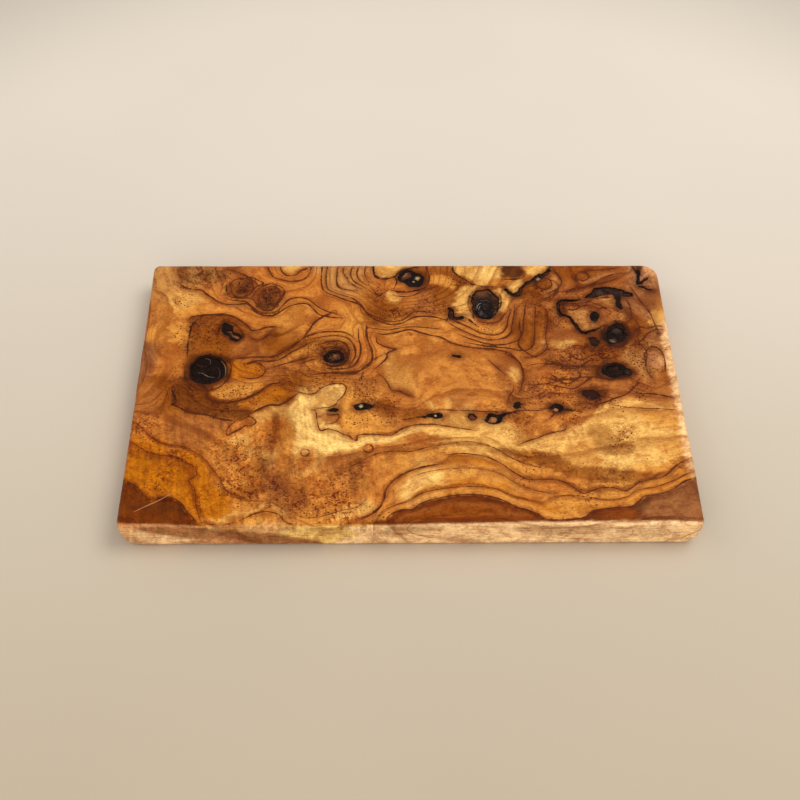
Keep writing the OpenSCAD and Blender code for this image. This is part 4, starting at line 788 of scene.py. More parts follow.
def beside(value, reach):
    """Sum of a field's four neighbours at so many grid steps from each place."""
    wide = np.pad(value, reach, mode="edge")
    inner = slice(reach, -reach)
    across = 2 * reach
    return wide[across:, inner] + wide[:-across, inner] + wide[inner, across:] + wide[inner, :-across]


def age_field():
    """Age of the wood: set along the growth lines, and spread evenly between them."""
    sheet = Sheet(0.0, 2.0)
    fixed = np.zeros(sheet.x.shape, bool)
    for age, _, points in GROWTH:
        if age is None:
            continue
        line = spline(points, 0.8)
        i = np.round((line[:, 0] - sheet.xs[0]) / sheet.step).astype(int)
        j = np.round((line[:, 1] - sheet.ys[0]) / sheet.step).astype(int)
        keep = (i >= 0) & (j >= 0) & (i < len(sheet.xs)) & (j < len(sheet.ys))
        sheet.value[j[keep], i[keep]] = age
        fixed[j[keep], i[keep]] = True
    value = np.where(fixed, sheet.value, sheet.value[fixed].mean())
    for reach in (16, 8, 4, 2, 1):          # wide first, so that it settles soon
        for _ in range(60):
            value = np.where(fixed, sheet.value, beside(value, reach) / 4)
    for _ in range(2):                      # and rounds the crease along each line
        value = (4 * value + beside(value, 1)) / 8
    sheet.value = value
    return sheet


def spread(spots):
    """A field that is strong round some places: each is x, y, radius and strength."""
    sheet = Sheet(0.0)
    for x, y, radius, strength in spots:
        distance = ((sheet.x - x) ** 2 + (sheet.y - y) ** 2) / radius ** 2
        sheet.value += strength * np.exp(-1.4 * distance)
    return sheet


# ---------------------------------------------------------------------------------------------
# Outlines and closed shells, in millimetres
# ---------------------------------------------------------------------------------------------
def area(loop):
    """Area of a closed outline, negative if it runs clockwise."""
    x, y = loop[:, 0], loop[:, 1]
    return 0.5 * float(np.sum(x * np.roll(y, -1) - y * np.roll(x, -1)))


def flat_loops(name, height):
    """Closed outlines of the parts of a CAD node's surface that lie flat at a height."""
    mesh = NODES[name].data
    mesh.calc_loop_triangles()
    points = np.array([v.co for v in mesh.vertices]) / MM
    points, index = np.unique(np.round(points, 3), axis=0, return_inverse=True)
    corners = index.reshape(-1)[np.array([t.vertices[:] for t in mesh.loop_triangles])]
    flat = (np.abs(points[corners][:, :, 2] - height) < EXACT).all(axis=1)
    sides = {(int(a), int(b)) for t in corners[flat] for a, b in zip(t, np.roll(t, -1))}
    follows = {a: b for a, b in sides if (b, a) not in sides}
    loops = []
    while follows:
        start = min(follows)
        chain = [start]
        at = follows.pop(start)
        while at != start:
            chain.append(at)
            at = follows.pop(at)
        loops.append(points[chain, :2])
    return sorted(loops, key=lambda loop: -abs(area(loop)))


def even(loop, step):
    """The same closed outline with points at even steps."""
    closed = np.vstack([loop, loop[:1]])
    run = np.concatenate([[0], np.cumsum(np.hypot(*np.diff(closed, axis=0).T))])
    at = np.linspace(0, run[-1], max(int(run[-1] / step), 12), endpoint=False)
    return np.column_stack([np.interp(at, run, closed[:, i]) for i in (0, 1)])


def torn(loop):
    """A pocket's outline with its corners softened and small teeth along it."""
    line = even(loop, WALL_STEP)
    for _ in range(5):
        line = 0.5 * line + 0.25 * (np.roll(line, 1, axis=0) + np.roll(line, -1, axis=0))
    x, y = line[:, 0], line[:, 1]
    line = line + 0.45 * np.column_stack([waves(x, y, 7, 43), waves(x, y, 7, 44)])
    return line + 0.13 * np.column_stack([waves(x, y, 2.2, 41), waves(x, y, 2.2, 42)])


def grown(loop, by):
    """A closed outline moved outwards by a distance, or inwards if it is negative."""
    run = np.roll(loop, -1, axis=0) - np.roll(loop, 1, axis=0)
    side = np.column_stack([run[:, 1], -run[:, 0]]) / np.maximum(np.hypot(*run.T), 1e-6)[:, None]
    return loop + by * math.copysign(1, area(loop)) * side


def within(points, loops):
    """Which points lie inside an odd number of outlines, so that inner ones are holes."""
    result = np.zeros(len(points), bool)
    for loop in loops:
        result ^= inside(points, loop)
    return result


def fill_region(loops, step, extra=None):
    """Triangles that fill the space between outlines, with extra points where lines are drawn.

    Gives the points, the triangles, and the numbers of the points along each outline.
    """
    rim = np.vstack(loops)
    low, high = rim.min(0), rim.max(0)
    columns = np.arange(low[0], high[0] + step, step)
    rows = np.arange(low[1], high[1] + step, step * 0.866)      # rows of equal triangles
    x, y = np.meshgrid(columns, rows)
    x[1::2] += step / 2
    grid = np.column_stack([x.ravel(), y.ravel()])
    if extra is not None:
        grid = np.vstack([extra, grid[gap_to(grid, extra)[0] > 0.5 * step]])
    grid = grid[within(grid, loops)]
    if len(grid):
        grid = grid[gap_to(grid, rim)[0] > 0.55 * step]
    edges = []
    spans = []
    start = 0
    for loop in loops:
        span = np.arange(start, start + len(loop))
        edges += list(zip(span.tolist(), np.roll(span, -1).tolist()))
        spans.append(span)
        start += len(loop)
    flat = [Vector(p) for p in np.vstack([rim, grid]).tolist()]
    points, _, faces, origins, _, _ = delaunay_2d_cdt(flat, edges, [], 0, 1e-5, True)
    points = np.array(points)
    faces = np.array(faces)
    faces = faces[within(points[faces].mean(axis=1), loops)]
    place = np.zeros(len(flat), int)
    for number, sources in enumerate(origins):
        place[sources] = number
    return points, faces, [place[span] for span in spans]


class Shell:
    """Points and faces of one closed surface."""

    def __init__(self):
        self.points = np.zeros((0, 3))
        self.faces = []

    def add(self, flat, heights):
        """Adds points at one height or at one each, and returns their numbers."""
        start = len(self.points)
        heights = np.broadcast_to(heights, len(flat))
        self.points = np.vstack([self.points, np.column_stack([flat, heights])])
        return np.arange(start, len(self.points))

    def join(self, upper, lower):
        """A band of faces between two closed rings of as many points."""
        corners = (upper, np.roll(upper, -1), np.roll(lower, -1), lower)
        self.faces += zip(*[ring.tolist() for ring in corners])

    def cover(self, faces, numbers):
        """Adds triangles, given the numbers of their points in this shell."""
        self.faces += numbers[faces].tolist()

    def build(self, name, sharp=50):
        """The shell as an object in metres, with its faces turned outwards."""
        mesh = bpy.data.meshes.new(name)
        mesh.from_pydata((self.points * MM).tolist(), [], self.faces)
        work = bmesh.new()
        work.from_mesh(mesh)
        bmesh.ops.recalc_face_normals(work, faces=work.faces)
        work.to_mesh(mesh)
        work.free()
        mesh.shade_smooth()
        mesh.set_sharp_from_angle(angle=math.radians(sharp))
        made = bpy.data.objects.new(name, mesh)
        bpy.context.scene.collection.objects.link(made)
        return made


def carry(made, name, values):
    """Gives a mesh a named value, vector or colour at every point."""
    kinds = {1: ("FLOAT", "value"), 3: ("FLOAT_VECTOR", "vector"), 4: ("FLOAT_COLOR", "color")}
    kind, key = kinds[1 if values.ndim == 1 else values.shape[1]]
    layer = made.data.attributes.new(name, kind, "POINT")
    layer.data.foreach_set(key, values.astype(np.float32).ravel())


# ---------------------------------------------------------------------------------------------
# The board
# ---------------------------------------------------------------------------------------------
TOP_LOOPS = flat_loops("board_slab", THICK)
BASE_RIM = flat_loops("board_slab", 0)[0]
TOP_ROUND = HALF[0] - TOP_LOOPS[0][:, 0].max()       # round-over along the top edge
END_UNDERCUT = HALF[0] - BASE_RIM[:, 0].max()        # hollow under the two ends for the fingers
BASE_EASE = HALF[1] - BASE_RIM[:, 1].max()           # eased edge under the front and the back
POCKETS = [torn(loop) for loop in TOP_LOOPS[1:]]
FILLS = [name for name in NODES if name != "board_slab"]


def plan(inset_x, inset_y):
    """Outline of the board at one height, in from its greatest length and width."""
    half = HALF - (inset_x, inset_y)
    arcs = []
    corners = ((1, 1, WORN_CORNER), (-1, 1, CORNER), (-1, -1, CORNER), (1, -1, CORNER))
    for number, (sx, sy, radius) in enumerate(corners):
        r = max(radius - max(inset_x, inset_y), LEAST_CORNER)
        turn = math.pi / 2 * (number + np.linspace(0, 1, 2 + 2 * radius))   # more points on wider corners
        x = sx * (half[0] - r) + r * np.cos(turn)
        y = sy * (half[1] - r) + r * np.sin(turn)
        arcs.append(np.column_stack([x, y]))
    outline = []
    for number, (arc, after) in enumerate(zip(arcs, arcs[1:] + arcs[:1])):
        steps = int(2 * HALF[number % 2] / SIDE_STEP)
        t = np.arange(1, steps)[:, None] / steps
        outline += [arc, arc[-1] + t * (after[0] - arc[-1])]
    return np.vstack(outline)


def levels():
    """Insets in x and y, and height, of each outline from the top face down to the underside."""
    rows = []
    for turn in np.radians(np.arange(0, 91, 15)):
        inset = TOP_ROUND * (1 - math.sin(turn))
        rows.append((inset, inset, THICK - TOP_ROUND * (1 - math.cos(turn))))
    for turn in np.radians(np.arange(0, 91, 7.5)):
        z = END_UNDERCUT * (1 - math.sin(turn))
        deep = max(BASE_EASE - z, 0)
        inset_y = BASE_EASE - math.sqrt(BASE_EASE ** 2 - deep ** 2)
        rows.append((END_UNDERCUT * (1 - math.cos(turn)), inset_y, z))
    return rows


def pocket_floor(loop):
    """Height of the bottom of a pocket: that of the lowest fill with most of its outline in it."""
    floors = []
    for name in FILLS:
        low, high = [np.array(corner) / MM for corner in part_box(name)]
        for outline in flat_loops(name, high[2]):
            if inside(outline, grown(loop, 0.5)).mean() > 0.5:
                floors.append(low[2])
    return min(floors)


def drawn_lines():
    """Points along the drawn lines, seams and scratch, so that the mesh follows them."""
    dense = [spline(points, 0.9) for _, width, points in GROWTH if width]
    dense += [spline(points, 0.9) for _, points in SEAMS]
    dense.append(spline(SCRATCH[1], 0.7))
    points = np.vstack(dense)
    cells = np.unique(np.round(points / 0.7).astype(int), axis=0, return_index=True)[1]
    return points[np.sort(cells)]


def cut_pocket(shell, rim, loop, floor):
    """Walls and floor of one pocket below its rim. Gives its lower rim if it goes right through."""
    ring = rim
    for depth in (LIP, 0.6, 0.35 * (THICK - floor), 0.7 * (THICK - floor)):
        lower = shell.add(loop, THICK - depth)
        shell.join(ring, lower)
        ring = lower
    if floor < THROUGH:
        lower = shell.add(loop, 0.15)
        shell.join(ring, lower)
        return lower
    points, faces, (edge,) = fill_region([loop], 3.0)
    numbers = shell.add(points, floor)
    shell.cover(faces, numbers)
    shell.join(ring, numbers[edge])
    return None


def worn(points):
    """Hand-sanded unevenness of the faces and the edges, which only ever goes inwards."""
    x, y, z = points.T
    dip = np.clip(0.05 + 0.03 * waves(x, y, 34, 51) + 0.012 * waves(x, y, 9, 52), 0, 0.14)
    top = z > THICK - EXACT
    base = z < EXACT
    flat = top | base
    z = np.where(top, z - dip, np.where(base, z + dip, z))
    rub = np.clip(0.10 + 0.09 * waves(x + 2 * z, y - 3 * z, 26, 53), 0, 0.35)
    edge = np.clip((np.maximum(np.abs(x) / HALF[0], np.abs(y) / HALF[1]) - 0.93) / 0.07, 0, 1)
    shrink = 1 - np.where(flat, 0.5, 1) * edge * rub / HALF[1]
    return np.column_stack([x * shrink, y * shrink, z])


def board_shell():
    """The whole slab, with every pocket cut into it."""
    shell = Shell()
    rows = levels()
    outlines = [plan(inset_x, inset_y) for inset_x, inset_y, _ in rows]
    rims = [grown(loop, LIP) for loop in POCKETS]
    points, faces, edges = fill_region([outlines[0]] + rims, TOP_STEP, drawn_lines())
    numbers = shell.add(points, THICK)
    shell.cover(faces, numbers)
    ring = numbers[edges[0]]
    for outline, (_, _, z) in zip(outlines[1:-1], rows[1:-1]):
        lower = shell.add(outline, z)
        shell.join(ring, lower)
        ring = lower
    base_rims = [outlines[-1]]
    holes = []
    for edge, raw, loop, rim in zip(edges[1:], TOP_LOOPS[1:], POCKETS, rims):
        lower = cut_pocket(shell, numbers[edge], loop, pocket_floor(raw))
        if lower is not None:
            holes.append(lower)
            base_rims.append(rim)
    points, faces, edges = fill_region(base_rims, BASE_STEP)
    numbers = shell.add(points, 0)
    shell.cover(faces, numbers)
    shell.join(ring, numbers[edges[0]])
    for lower, edge in zip(holes, edges[1:]):
        shell.join(lower, numbers[edge])
    shell.points = worn(shell.points)
    return shell


def unrolled(points):
    """Place in the drawn figure of each point of the board.

    The sides continue the top outwards, and the figure drifts a little as it goes down.
    """
    x, y, z = points.T
    depth = THICK - z
    low = (depth / THICK) ** 2
    u = x * (1 + depth / HALF[0]) + low * 7 * waves(x, y, 60, 61)
    v = y * (1 + depth / HALF[1]) + low * 2.5 * waves(x, y, 60, 62) * np.clip(y / 40 + 1.6, 0, 1)
    return u, v


def draw_figure(made, points):
    """Carries the drawn figure onto the board's mesh: its colours, lines, seams, scratch and rings."""
    u, v = unrolled(points)
    tint = paint_bands(paint_patches(paint_tones())).read(u, v)
    carry(made, "tint", np.column_stack([tint * OIL, np.ones(len(tint))]))
    place = np.column_stack([u, v])
    growth = line_gap(place, [(width, path) for _, width, path in GROWTH if width], 0.7)
    seams = line_gap(place, SEAMS, 0.6)
    # distance from the nearest pocket, which counts for less towards the underside
    halo = np.minimum(gap_to(points[:, :2], np.vstack(POCKETS))[0], 30)
    halo += 0.5 * np.clip(THICK - points[:, 2] - 5, 0, 30)
    carry(made, "figure", np.column_stack([growth, seams, halo]))
    carry(made, "scratch", line_gap(place, [SCRATCH]))
    age = age_field().read(u, v)
    blotches = spread(BLOTCHES).read(u, v)
    eyes = spread(SPECKLES).read(u, v)
    carry(made, "rings", np.column_stack([age, blotches, eyes]))


# ---------------------------------------------------------------------------------------------
# Materials
# ---------------------------------------------------------------------------------------------
class Finish:
    """A node material. A value given to its methods is a number or another node's output."""

    def __init__(self, name):
        self.material = bpy.data.materials.new(name)
        self.material.use_nodes = True
        self.nodes = self.material.node_tree.nodes
        self.links = self.material.node_tree.links
        self.shader = self.nodes["Principled BSDF"]

    def put(self, socket, value):
        """Sets an input to a number, or links it to another node's output."""
        if isinstance(value, bpy.types.NodeSocket):
            self.links.new(value, socket)
        else:
            socket.default_value = value

    def math(self, operation, a, b=0.0, c=0.0):
        """One step of arithmetic."""
        node = self.nodes.new("ShaderNodeMath")
        node.operation = operation
        for socket, value in zip(node.inputs, (a, b, c)):
            self.put(socket, value)
        return node.outputs[0]

    def product(self, first, *others):
        """The values multiplied together."""
        for value in others:
            first = self.math("MULTIPLY", first, value)
        return first

    def total(self, first, *others):
        """The values added up."""
        for value in others:
            first = self.math("ADD", first, value)
        return first

    def less(self, a, b):
        """The first value with the second taken away."""
        return self.math("SUBTRACT", a, b)

    def ease(self, value, low, high, start=0.0, end=1.0):
        """Goes smoothly from start to end as the value goes from low to high."""
        node = self.nodes.new("ShaderNodeMapRange")
        node.interpolation_type = "SMOOTHSTEP"
        for socket, given in zip(node.inputs, (value, low, high, start, end)):
            self.put(socket, given)
        return node.outputs[0]

    def place(self):
        """Place on the piece, in millimetres."""
        node = self.nodes.new("ShaderNodeTexCoord")
        return self.stretch(node.outputs["Object"], 1 / MM, 1 / MM, 1 / MM)

    def stretch(self, vector, x, y, z):
        """A place with each of its directions scaled."""
        node = self.nodes.new("ShaderNodeVectorMath")
        node.operation = "MULTIPLY"
        self.put(node.inputs[0], vector)
        self.put(node.inputs[1], (x, y, z))
        return node.outputs[0]

    def shift(self, vector, by):
        """A place moved along."""
        node = self.nodes.new("ShaderNodeVectorMath")
        node.operation = "ADD"
        self.put(node.inputs[0], vector)
        self.put(node.inputs[1], by)
        return node.outputs[0]

    def split(self, vector):
        """The three parts of a vector or a colour."""
        node = self.nodes.new("ShaderNodeSeparateXYZ")
        self.put(node.inputs[0], vector)
        return node.outputs

    def join(self, x, y, z):
        """A vector made of three values."""
        node = self.nodes.new("ShaderNodeCombineXYZ")
        for socket, value in zip(node.inputs, (x, y, z)):
            self.put(socket, value)
        return node.outputs[0]

    def noise(self, place, size, detail=2.0, roughness=0.5, warp=0.0):
        """Cloudy value from 0 to 1 with features of about that size."""
        node = self.nodes.new("ShaderNodeTexNoise")
        self.put(node.inputs["Vector"], place)
        self.put(node.inputs["Scale"], 1 / size)
        self.put(node.inputs["Detail"], detail)
        self.put(node.inputs["Roughness"], roughness)
        self.put(node.inputs["Distortion"], warp)
        return node.outputs[0]

    def cells(self, place, size):
        """Scattered cells of about that size: distance from each middle, and a random colour for each."""
        node = self.nodes.new("ShaderNodeTexVoronoi")
        self.put(node.inputs["Vector"], place)
        self.put(node.inputs["Scale"], 1 / size)
        return node.outputs["Distance"], node.outputs["Color"]

    def mix(self, factor, a, b, blend="MIX"):
        """The first colour with a share of the second over it."""
        node = self.nodes.new("ShaderNodeMix")
        node.data_type = "RGBA"
        node.blend_type = blend
        self.put(node.inputs[0], factor)
        self.put(node.inputs[6], self.colour(a))
        self.put(node.inputs[7], self.colour(b))
        return node.outputs[2]

    def stained(self, share, colour, tint):
        """A colour with a share of it dimmed by a stain."""
        return self.mix(share, colour, tint, "MULTIPLY")

    def colour(self, given):
        """A colour from 0 to 255, as seen, made ready for an input."""
        if isinstance(given, bpy.types.NodeSocket):
            return given
        return (*[float(c) for c in linear(given)], 1.0)

    def times(self, colour, factor):
        """A colour made lighter or darker."""
        node = self.nodes.new("ShaderNodeVectorMath")
        node.operation = "SCALE"
        self.put(node.inputs[0], colour)
        self.put(node.inputs["Scale"], factor)
        return node.outputs[0]

    def carried(self, name, kind="Vector"):
        """What a mesh carries at each point under a name."""
        node = self.nodes.new("ShaderNodeAttribute")
        node.attribute_name = name
        return node.outputs[kind]

    def done(self, colour, roughness, height, depth, shine=0.5):
        """Ends the material: its colour, its roughness, a bump so many millimetres deep, its shine."""
        bump = self.nodes.new("ShaderNodeBump")
        self.put(bump.inputs["Height"], height)
        self.put(bump.inputs["Distance"], depth * MM)
        self.put(bump.inputs["Strength"], 1.0)
        self.put(self.shader.inputs["Base Color"], colour)
        self.put(self.shader.inputs["Roughness"], roughness)
        self.put(self.shader.inputs["Normal"], bump.outputs[0])
        self.put(self.shader.inputs["Specular IOR Level"], shine)
        return self.material


class BurlFinish(Finish):
    """Oiled olive burl: rings, fibres, small eyes and dark lines over the drawn colours."""

    def __init__(self):
        super().__init__("oiled_olive_burl")
        self.at = self.place()
        self.x, self.y, self.z = self.split(self.at)
        self.growth, self.seam, self.halo = self.split(self.carried("figure"))
        self.age, self.blotches, self.eyes = self.split(self.carried("rings"))
        # wavering, so that nothing drawn has a smooth edge
        self.waver = self.less(self.noise(self.at, 1.8, 3, 0.6), 0.5)
        self.broad = self.less(self.noise(self.at, 11, 2, 0.5), 0.5)
        self.patchy = self.noise(self.shift(self.at, (40, 9, 0)), 6.5, 3, 0.6, 0.6)
        self.fibre = self.noise(self.along_growth(0.09, 7), 1, 5, 0.62)
        self.fleck = self.noise(self.stretch(self.at, 0.5, 1, 1), 0.9, 2, 0.6)

    def along_growth(self, in_place, with_age):
        """A place that changes slowly along the growth lines and quickly across them."""
        x, y = self.product(self.x, in_place), self.product(self.y, in_place)
        return self.join(x, y, self.product(self.age, with_age))

    def ground(self):
        """The drawn colour, mottled, streaked along the fibres and paler on the flecks, with a painted
        sheen over the brightest flecks.
        """
        tone = self.product(
            self.ease(self.patchy, 0.25, 0.75, 0.80, 1.17), self.ease(self.fibre, 0.3, 0.7, 0.88, 1.11),
            self.ease(self.fleck, 0.25, 0.75, 0.88, 1.08))
        colour = self.times(self.carried("tint", "Color"), tone)
        deep = self.ease(tone, 1.0, 0.72)
        colour = self.stained(self.product(deep, 0.45), colour, (232, 158, 120))
        # painted sheen: flecks along the fibres lightened towards a paler, bluer colour, for light
        # glancing off them
        sheen = self.product(self.ease(self.fleck, 0.46, 0.74), self.ease(self.fibre, 0.40, 0.62))
        sheen_colour = self.times(self.stained(1.0, colour, (200, 226, 255)), 1.9)
        return self.mix(self.product(sheen, 0.5), colour, sheen_colour)

    def sawn_sides(self, colour):
        """Coarse saw-cut grain on the sides and the underside."""
        sawn = self.ease(self.z, THICK - 1, THICK - 2.2)
        streak = self.noise(self.stretch(self.at, 0.09, 0.5, 1), 0.9, 5, 0.7, 0.5)
        rough = self.noise(self.at, 2.6, 4, 0.65)
        streak = self.total(self.product(streak, 0.65), self.product(rough, 0.35))
        colour = self.mix(sawn, colour, self.times(colour, self.ease(streak, 0.34, 0.66, 0.70, 1.22)))
        rough = self.product(self.ease(streak, 0.42, 0.34), sawn)
        return self.stained(self.product(rough, 0.6), colour, (176, 96, 62))

    def burl(self, colour):
        """Brown blotches with curled lines in them and paler flecks between them."""
        blot = self.noise(self.shift(self.at, (11, 70, 0)), 3.4, 5, 0.62, 1.2)
        gain = self.math("MINIMUM", self.blotches, 1.2)
        colour = self.stained(self.product(self.ease(blot, 0.50, 0.62), gain), colour, (160, 102, 56))
        pale = self.product(self.ease(blot, 0.46, 0.32), gain, 0.7)
        colour = self.mix(pale, colour, self.times(colour, 1.38))
        curl = self.less(self.noise(self.shift(self.at, (2, 31, 7)), 4.2, 3, 0.55, 1.6), 0.5)
        curl = self.ease(self.math("ABSOLUTE", curl), 0.022, 0.0)
        curl = self.product(curl, self.math("MINIMUM", self.product(gain, 1.1), 0.95))
        return self.stained(curl, colour, (126, 68, 36))

    def rings(self, colour):
        """Growth rings between the drawn lines, dark where each one ends."""
        phase = self.total(self.age, 0.5, self.product(self.broad, 0.35), self.product(self.waver, 0.10))
        phase = self.math("FRACT", phase)
        late = self.product(self.ease(phase, 0.15, 0.5), self.ease(phase, 0.56, 0.5))
        late = self.product(late, self.ease(self.patchy, 0.35, 0.6, 0.25, 0.75))
        return self.stained(late, colour, (176, 132, 92))

    def lines(self, colour):
        """The drawn growth lines, each with a soft brown shadow. Gives their strength too."""
        rim = self.total(self.growth, self.product(self.waver, 0.7))
        line = self.product(self.ease(rim, 0.34, -0.14), self.ease(self.patchy, 0.2, 0.6, 0.66, 1.0))
        shadow = self.product(self.ease(self.growth, 3.0, 0.2), 0.3)
        colour = self.stained(shadow, colour, (176, 106, 56))
        return self.mix(line, colour, (80, 35, 9)), line

    def speckles(self, colour):
        """Small dark eyes, each in its own cell, and dust between them. Gives the eyes' strength too."""
        loose = self.product(self.waver, 0.8)
        flat = self.shift(self.shift(self.at, (0.4, 0, 0.3)), self.join(loose, loose, 0))
        flat = self.stretch(flat, 1, 1, 0.3)
        speck, chance = self.cells(self.shift(flat, (9, 5, 1)), 0.75)
        dust = self.less(self.split(chance)[0], self.product(self.eyes, 0.6))
        dust = self.product(self.ease(speck, 0.34, 0.16), self.ease(dust, 0.05, -0.05))
        colour = self.mix(self.product(dust, 0.75), colour, (104, 48, 18))

        spot, lot = self.cells(flat, 1.5)
        chance, largeness, depth = self.split(lot)
        deepest = self.mix(self.ease(self.eyes, 1.5, 2.6), (76, 32, 10), (30, 14, 7))
        chosen = self.ease(self.less(chance, self.eyes), 0.06, -0.06)
        beyond = self.less(spot, self.math("MULTIPLY_ADD", largeness, 0.22, 0.11))
        dot = self.product(self.ease(beyond, 0.10, -0.06), chosen)
        ring = self.product(self.ease(beyond, 0.30, 0.08), chosen)
        colour = self.stained(self.product(ring, 0.25), colour, (150, 92, 50))
        return self.mix(self.product(dot, self.ease(depth, 0, 1, 0.5, 0.95)), colour, deepest), dot

    def silk(self, colour):
        """Fine bands across the grain where the wood was wavy as it grew."""
        silky = self.product(self.ease(self.y, -14, -34), self.ease(self.x, 6, -24))
        leaning = self.shift(self.at, self.join(self.product(self.y, 0.12), 0, 0))
        band = self.noise(self.stretch(leaning, 1, 0.12, 0.3), 2.2, 3, 0.6)
        return self.mix(silky, colour, self.times(colour, self.ease(band, 0.3, 0.7, 0.80, 1.17)))

    def pores(self, colour):
        """Fine pores, drawn out along the growth lines. Gives their strength too."""
        thread = self.noise(self.shift(self.along_growth(0.55, 26), (0, 0, 3)), 1, 2, 0.6)
        pore = self.ease(thread, 0.40, 0.27)
        return self.stained(self.product(pore, 0.42), colour, (120, 66, 34)), pore

    def seams(self, colour):
        """The stain round every pocket and the dark ragged seams. Gives the seams' strength too."""
        stain = self.total(self.halo, self.product(self.broad, 4))
        colour = self.stained(self.ease(stain, 4.5, 0.4, 0, 0.55), colour, (120, 62, 34))
        lip = self.total(self.halo, self.product(self.waver, 1.8))
        colour = self.mix(self.ease(lip, 0.6, -0.1, 0, 0.9), colour, (40, 20, 11))
        nibble = self.less(self.noise(self.shift(self.at, (5, 0, 9)), 0.8, 2, 0.6), 0.5)
        edge = self.total(self.seam, self.product(self.waver, 2.2), self.product(nibble, 1.3))
        inked = self.product(self.ease(edge, 0.35, -0.25), self.ease(self.patchy, 0.25, 0.5, 0.55, 1.0))
        ink = self.mix(self.ease(nibble, -0.05, 0.12), (26, 13, 9), (72, 36, 17))
        return self.mix(self.product(inked, 0.95), colour, ink), inked

    def scratched(self, colour):
        """The pale scratch across the front left corner."""
        scratch = self.ease(self.carried("scratch", "Fac"), 0.35, -0.1)
        return self.mix(self.product(scratch, 0.5), colour, (214, 150, 96))

    def finished(self):
        """The whole material, with every line, eye, pore and seam sunk a little into the face."""
        colour = self.rings(self.burl(self.sawn_sides(self.ground())))
        colour, line = self.lines(colour)
        colour, dot = self.speckles(colour)
        colour, pore = self.pores(self.silk(colour))
        colour, inked = self.seams(colour)
        colour = self.scratched(colour)
        height = self.total(self.product(self.fibre, 0.5), self.product(self.fleck, 0.2))
        for mark, depth in ((line, 0.35), (dot, 0.7), (pore, 0.3), (inked, 0.9)):
            height = self.less(height, self.product(mark, depth))
        gloss = self.total(self.fibre, self.product(self.broad, 0.4))
        return self.done(colour, self.ease(gloss, 0.25, 0.8, 0.36, 0.50), height, 0.06, 0.07)


def with_glints_and_marks(f, colour):
    """Lays the colour that a fill carries for its own spots, lines and painted glints over another."""
    return f.mix(f.carried("mark", "Alpha"), colour, f.carried("mark", "Color"))


def resin_finish():
    """Near-black resin, glossy, with faint brown clouds and a few dull smears."""
    f = Finish("dark_resin")
    place = f.place()
    cloud = f.noise(place, 3.5, 3, 0.6, 0.8)
    smear = f.noise(f.shift(place, (7, 3, 0)), 2.6, 2, 0.5)
    wall = f.carried("wall", "Fac")
    colour = f.mix(f.ease(cloud, 0.42, 0.75), (14, 7, 4), (46, 21, 11))
    colour = f.mix(f.ease(wall, 0.6, 0.0, 0, 0.6), colour, (54, 24, 11))
    return f.done(with_glints_and_marks(f, colour), f.ease(smear, 0.4, 0.75, 0.10, 0.26), smear, 0.01, 0.09)


def bark_finish(name, dark, light, glow, dull=(0.42, 0.75), shine=0.10):
    """Dead wood or bark: cracked and rough, dark in its cracks, with lighter crests."""
    f = Finish(name)
    place = f.place()
    grain = f.noise(place, 1.2, 5, 0.65, 0.5)
    cloud = f.noise(f.shift(place, (3, 8, 0)), 4.5, 2, 0.5)
    colour = f.mix(f.ease(grain, 0.3, 0.7), dark, light)
    colour = f.mix(f.product(f.ease(cloud, 0.5, 0.72), 0.6), colour, glow)
    colour = f.mix(f.ease(f.carried("hollow", "Fac"), 0.35, 0.85), colour, (16, 9, 7))
    colour = f.mix(f.ease(f.carried("wall", "Fac"), 0.8, 0.1, 0, 0.8), colour, (20, 11, 8))
    return f.done(with_glints_and_marks(f, colour), f.ease(grain, 0.2, 0.8, *dull), grain, 0.14, shine)


# ---------------------------------------------------------------------------------------------
# Knots, bark and resin
# ---------------------------------------------------------------------------------------------
# Spots and lines on single fills, some of them painted glints: x, y, radius and colour of a spot; half
# width, colour and points of a line
GLINTS_AND_SPOTS = {
    # the first spot on the peanut knot is a painted glint
    "peanut_knot": [(-110.6, 45.4, 1.9, (176, 142, 78)), (-104, 38, 2.4, (142, 86, 56))],
    "back_knot": [(-2, 91.4, 2.6, (150, 96, 66)), (3, 87, 2.4, (92, 50, 32))],
    # both spots on this resin are painted glints
    "back_knot_resin": [(7, 87.4, 1.5, (196, 160, 100)), (4.6, 84.4, 0.9, (150, 130, 100))],
    "front_knot": [(48.6, -26.8, 2.6, (170, 108, 60))],
    "fork_knot": [(85, -19.2, 1.8, (180, 124, 84))],
    "red_knot": [(36.6, -25.6, 2.2, (110, 48, 26))],
    # the spots on the two slits' resin are painted glints
    "left_slit_resin": [(-28, -16.7, 1.2, (190, 170, 122))],
    "middle_slit_resin": [(15, -24, 0.8, (196, 166, 108))],
    "low_knot_resin": [(107, -8.4, 5.6, (52, 20, 13)), (105.6, -10.6, 1.3, (96, 82, 48))],
    # the first spot on this resin is a painted glint
    "side_knot_resin": [(130.6, 8.8, 1.6, (56, 44, 32)), (120, 12, 3, (40, 28, 26))],
    "corner_knot": [(124.6, 33.4, 2.4, (112, 90, 70)), (128, 43, 3.0, (62, 46, 36))],
    "thumb_knot_resin": [(113, 33.4, 3.6, (50, 24, 14))],
    "eye_knot": [(-43.6, 22.6, 1.6, (140, 84, 50))],
    "round_knot_bark": [(47, 75.4, 4.6, (104, 62, 38)), (54.6, 71, 2.4, (74, 42, 28))],
    "right_seam_bark": [(121, 74.6, 2.2, (70, 48, 34)), (131, 75, 2.6, (48, 34, 34))],
    "back_seam_bark": [(83.6, 86.8, 1.6, (168, 120, 88))],
}
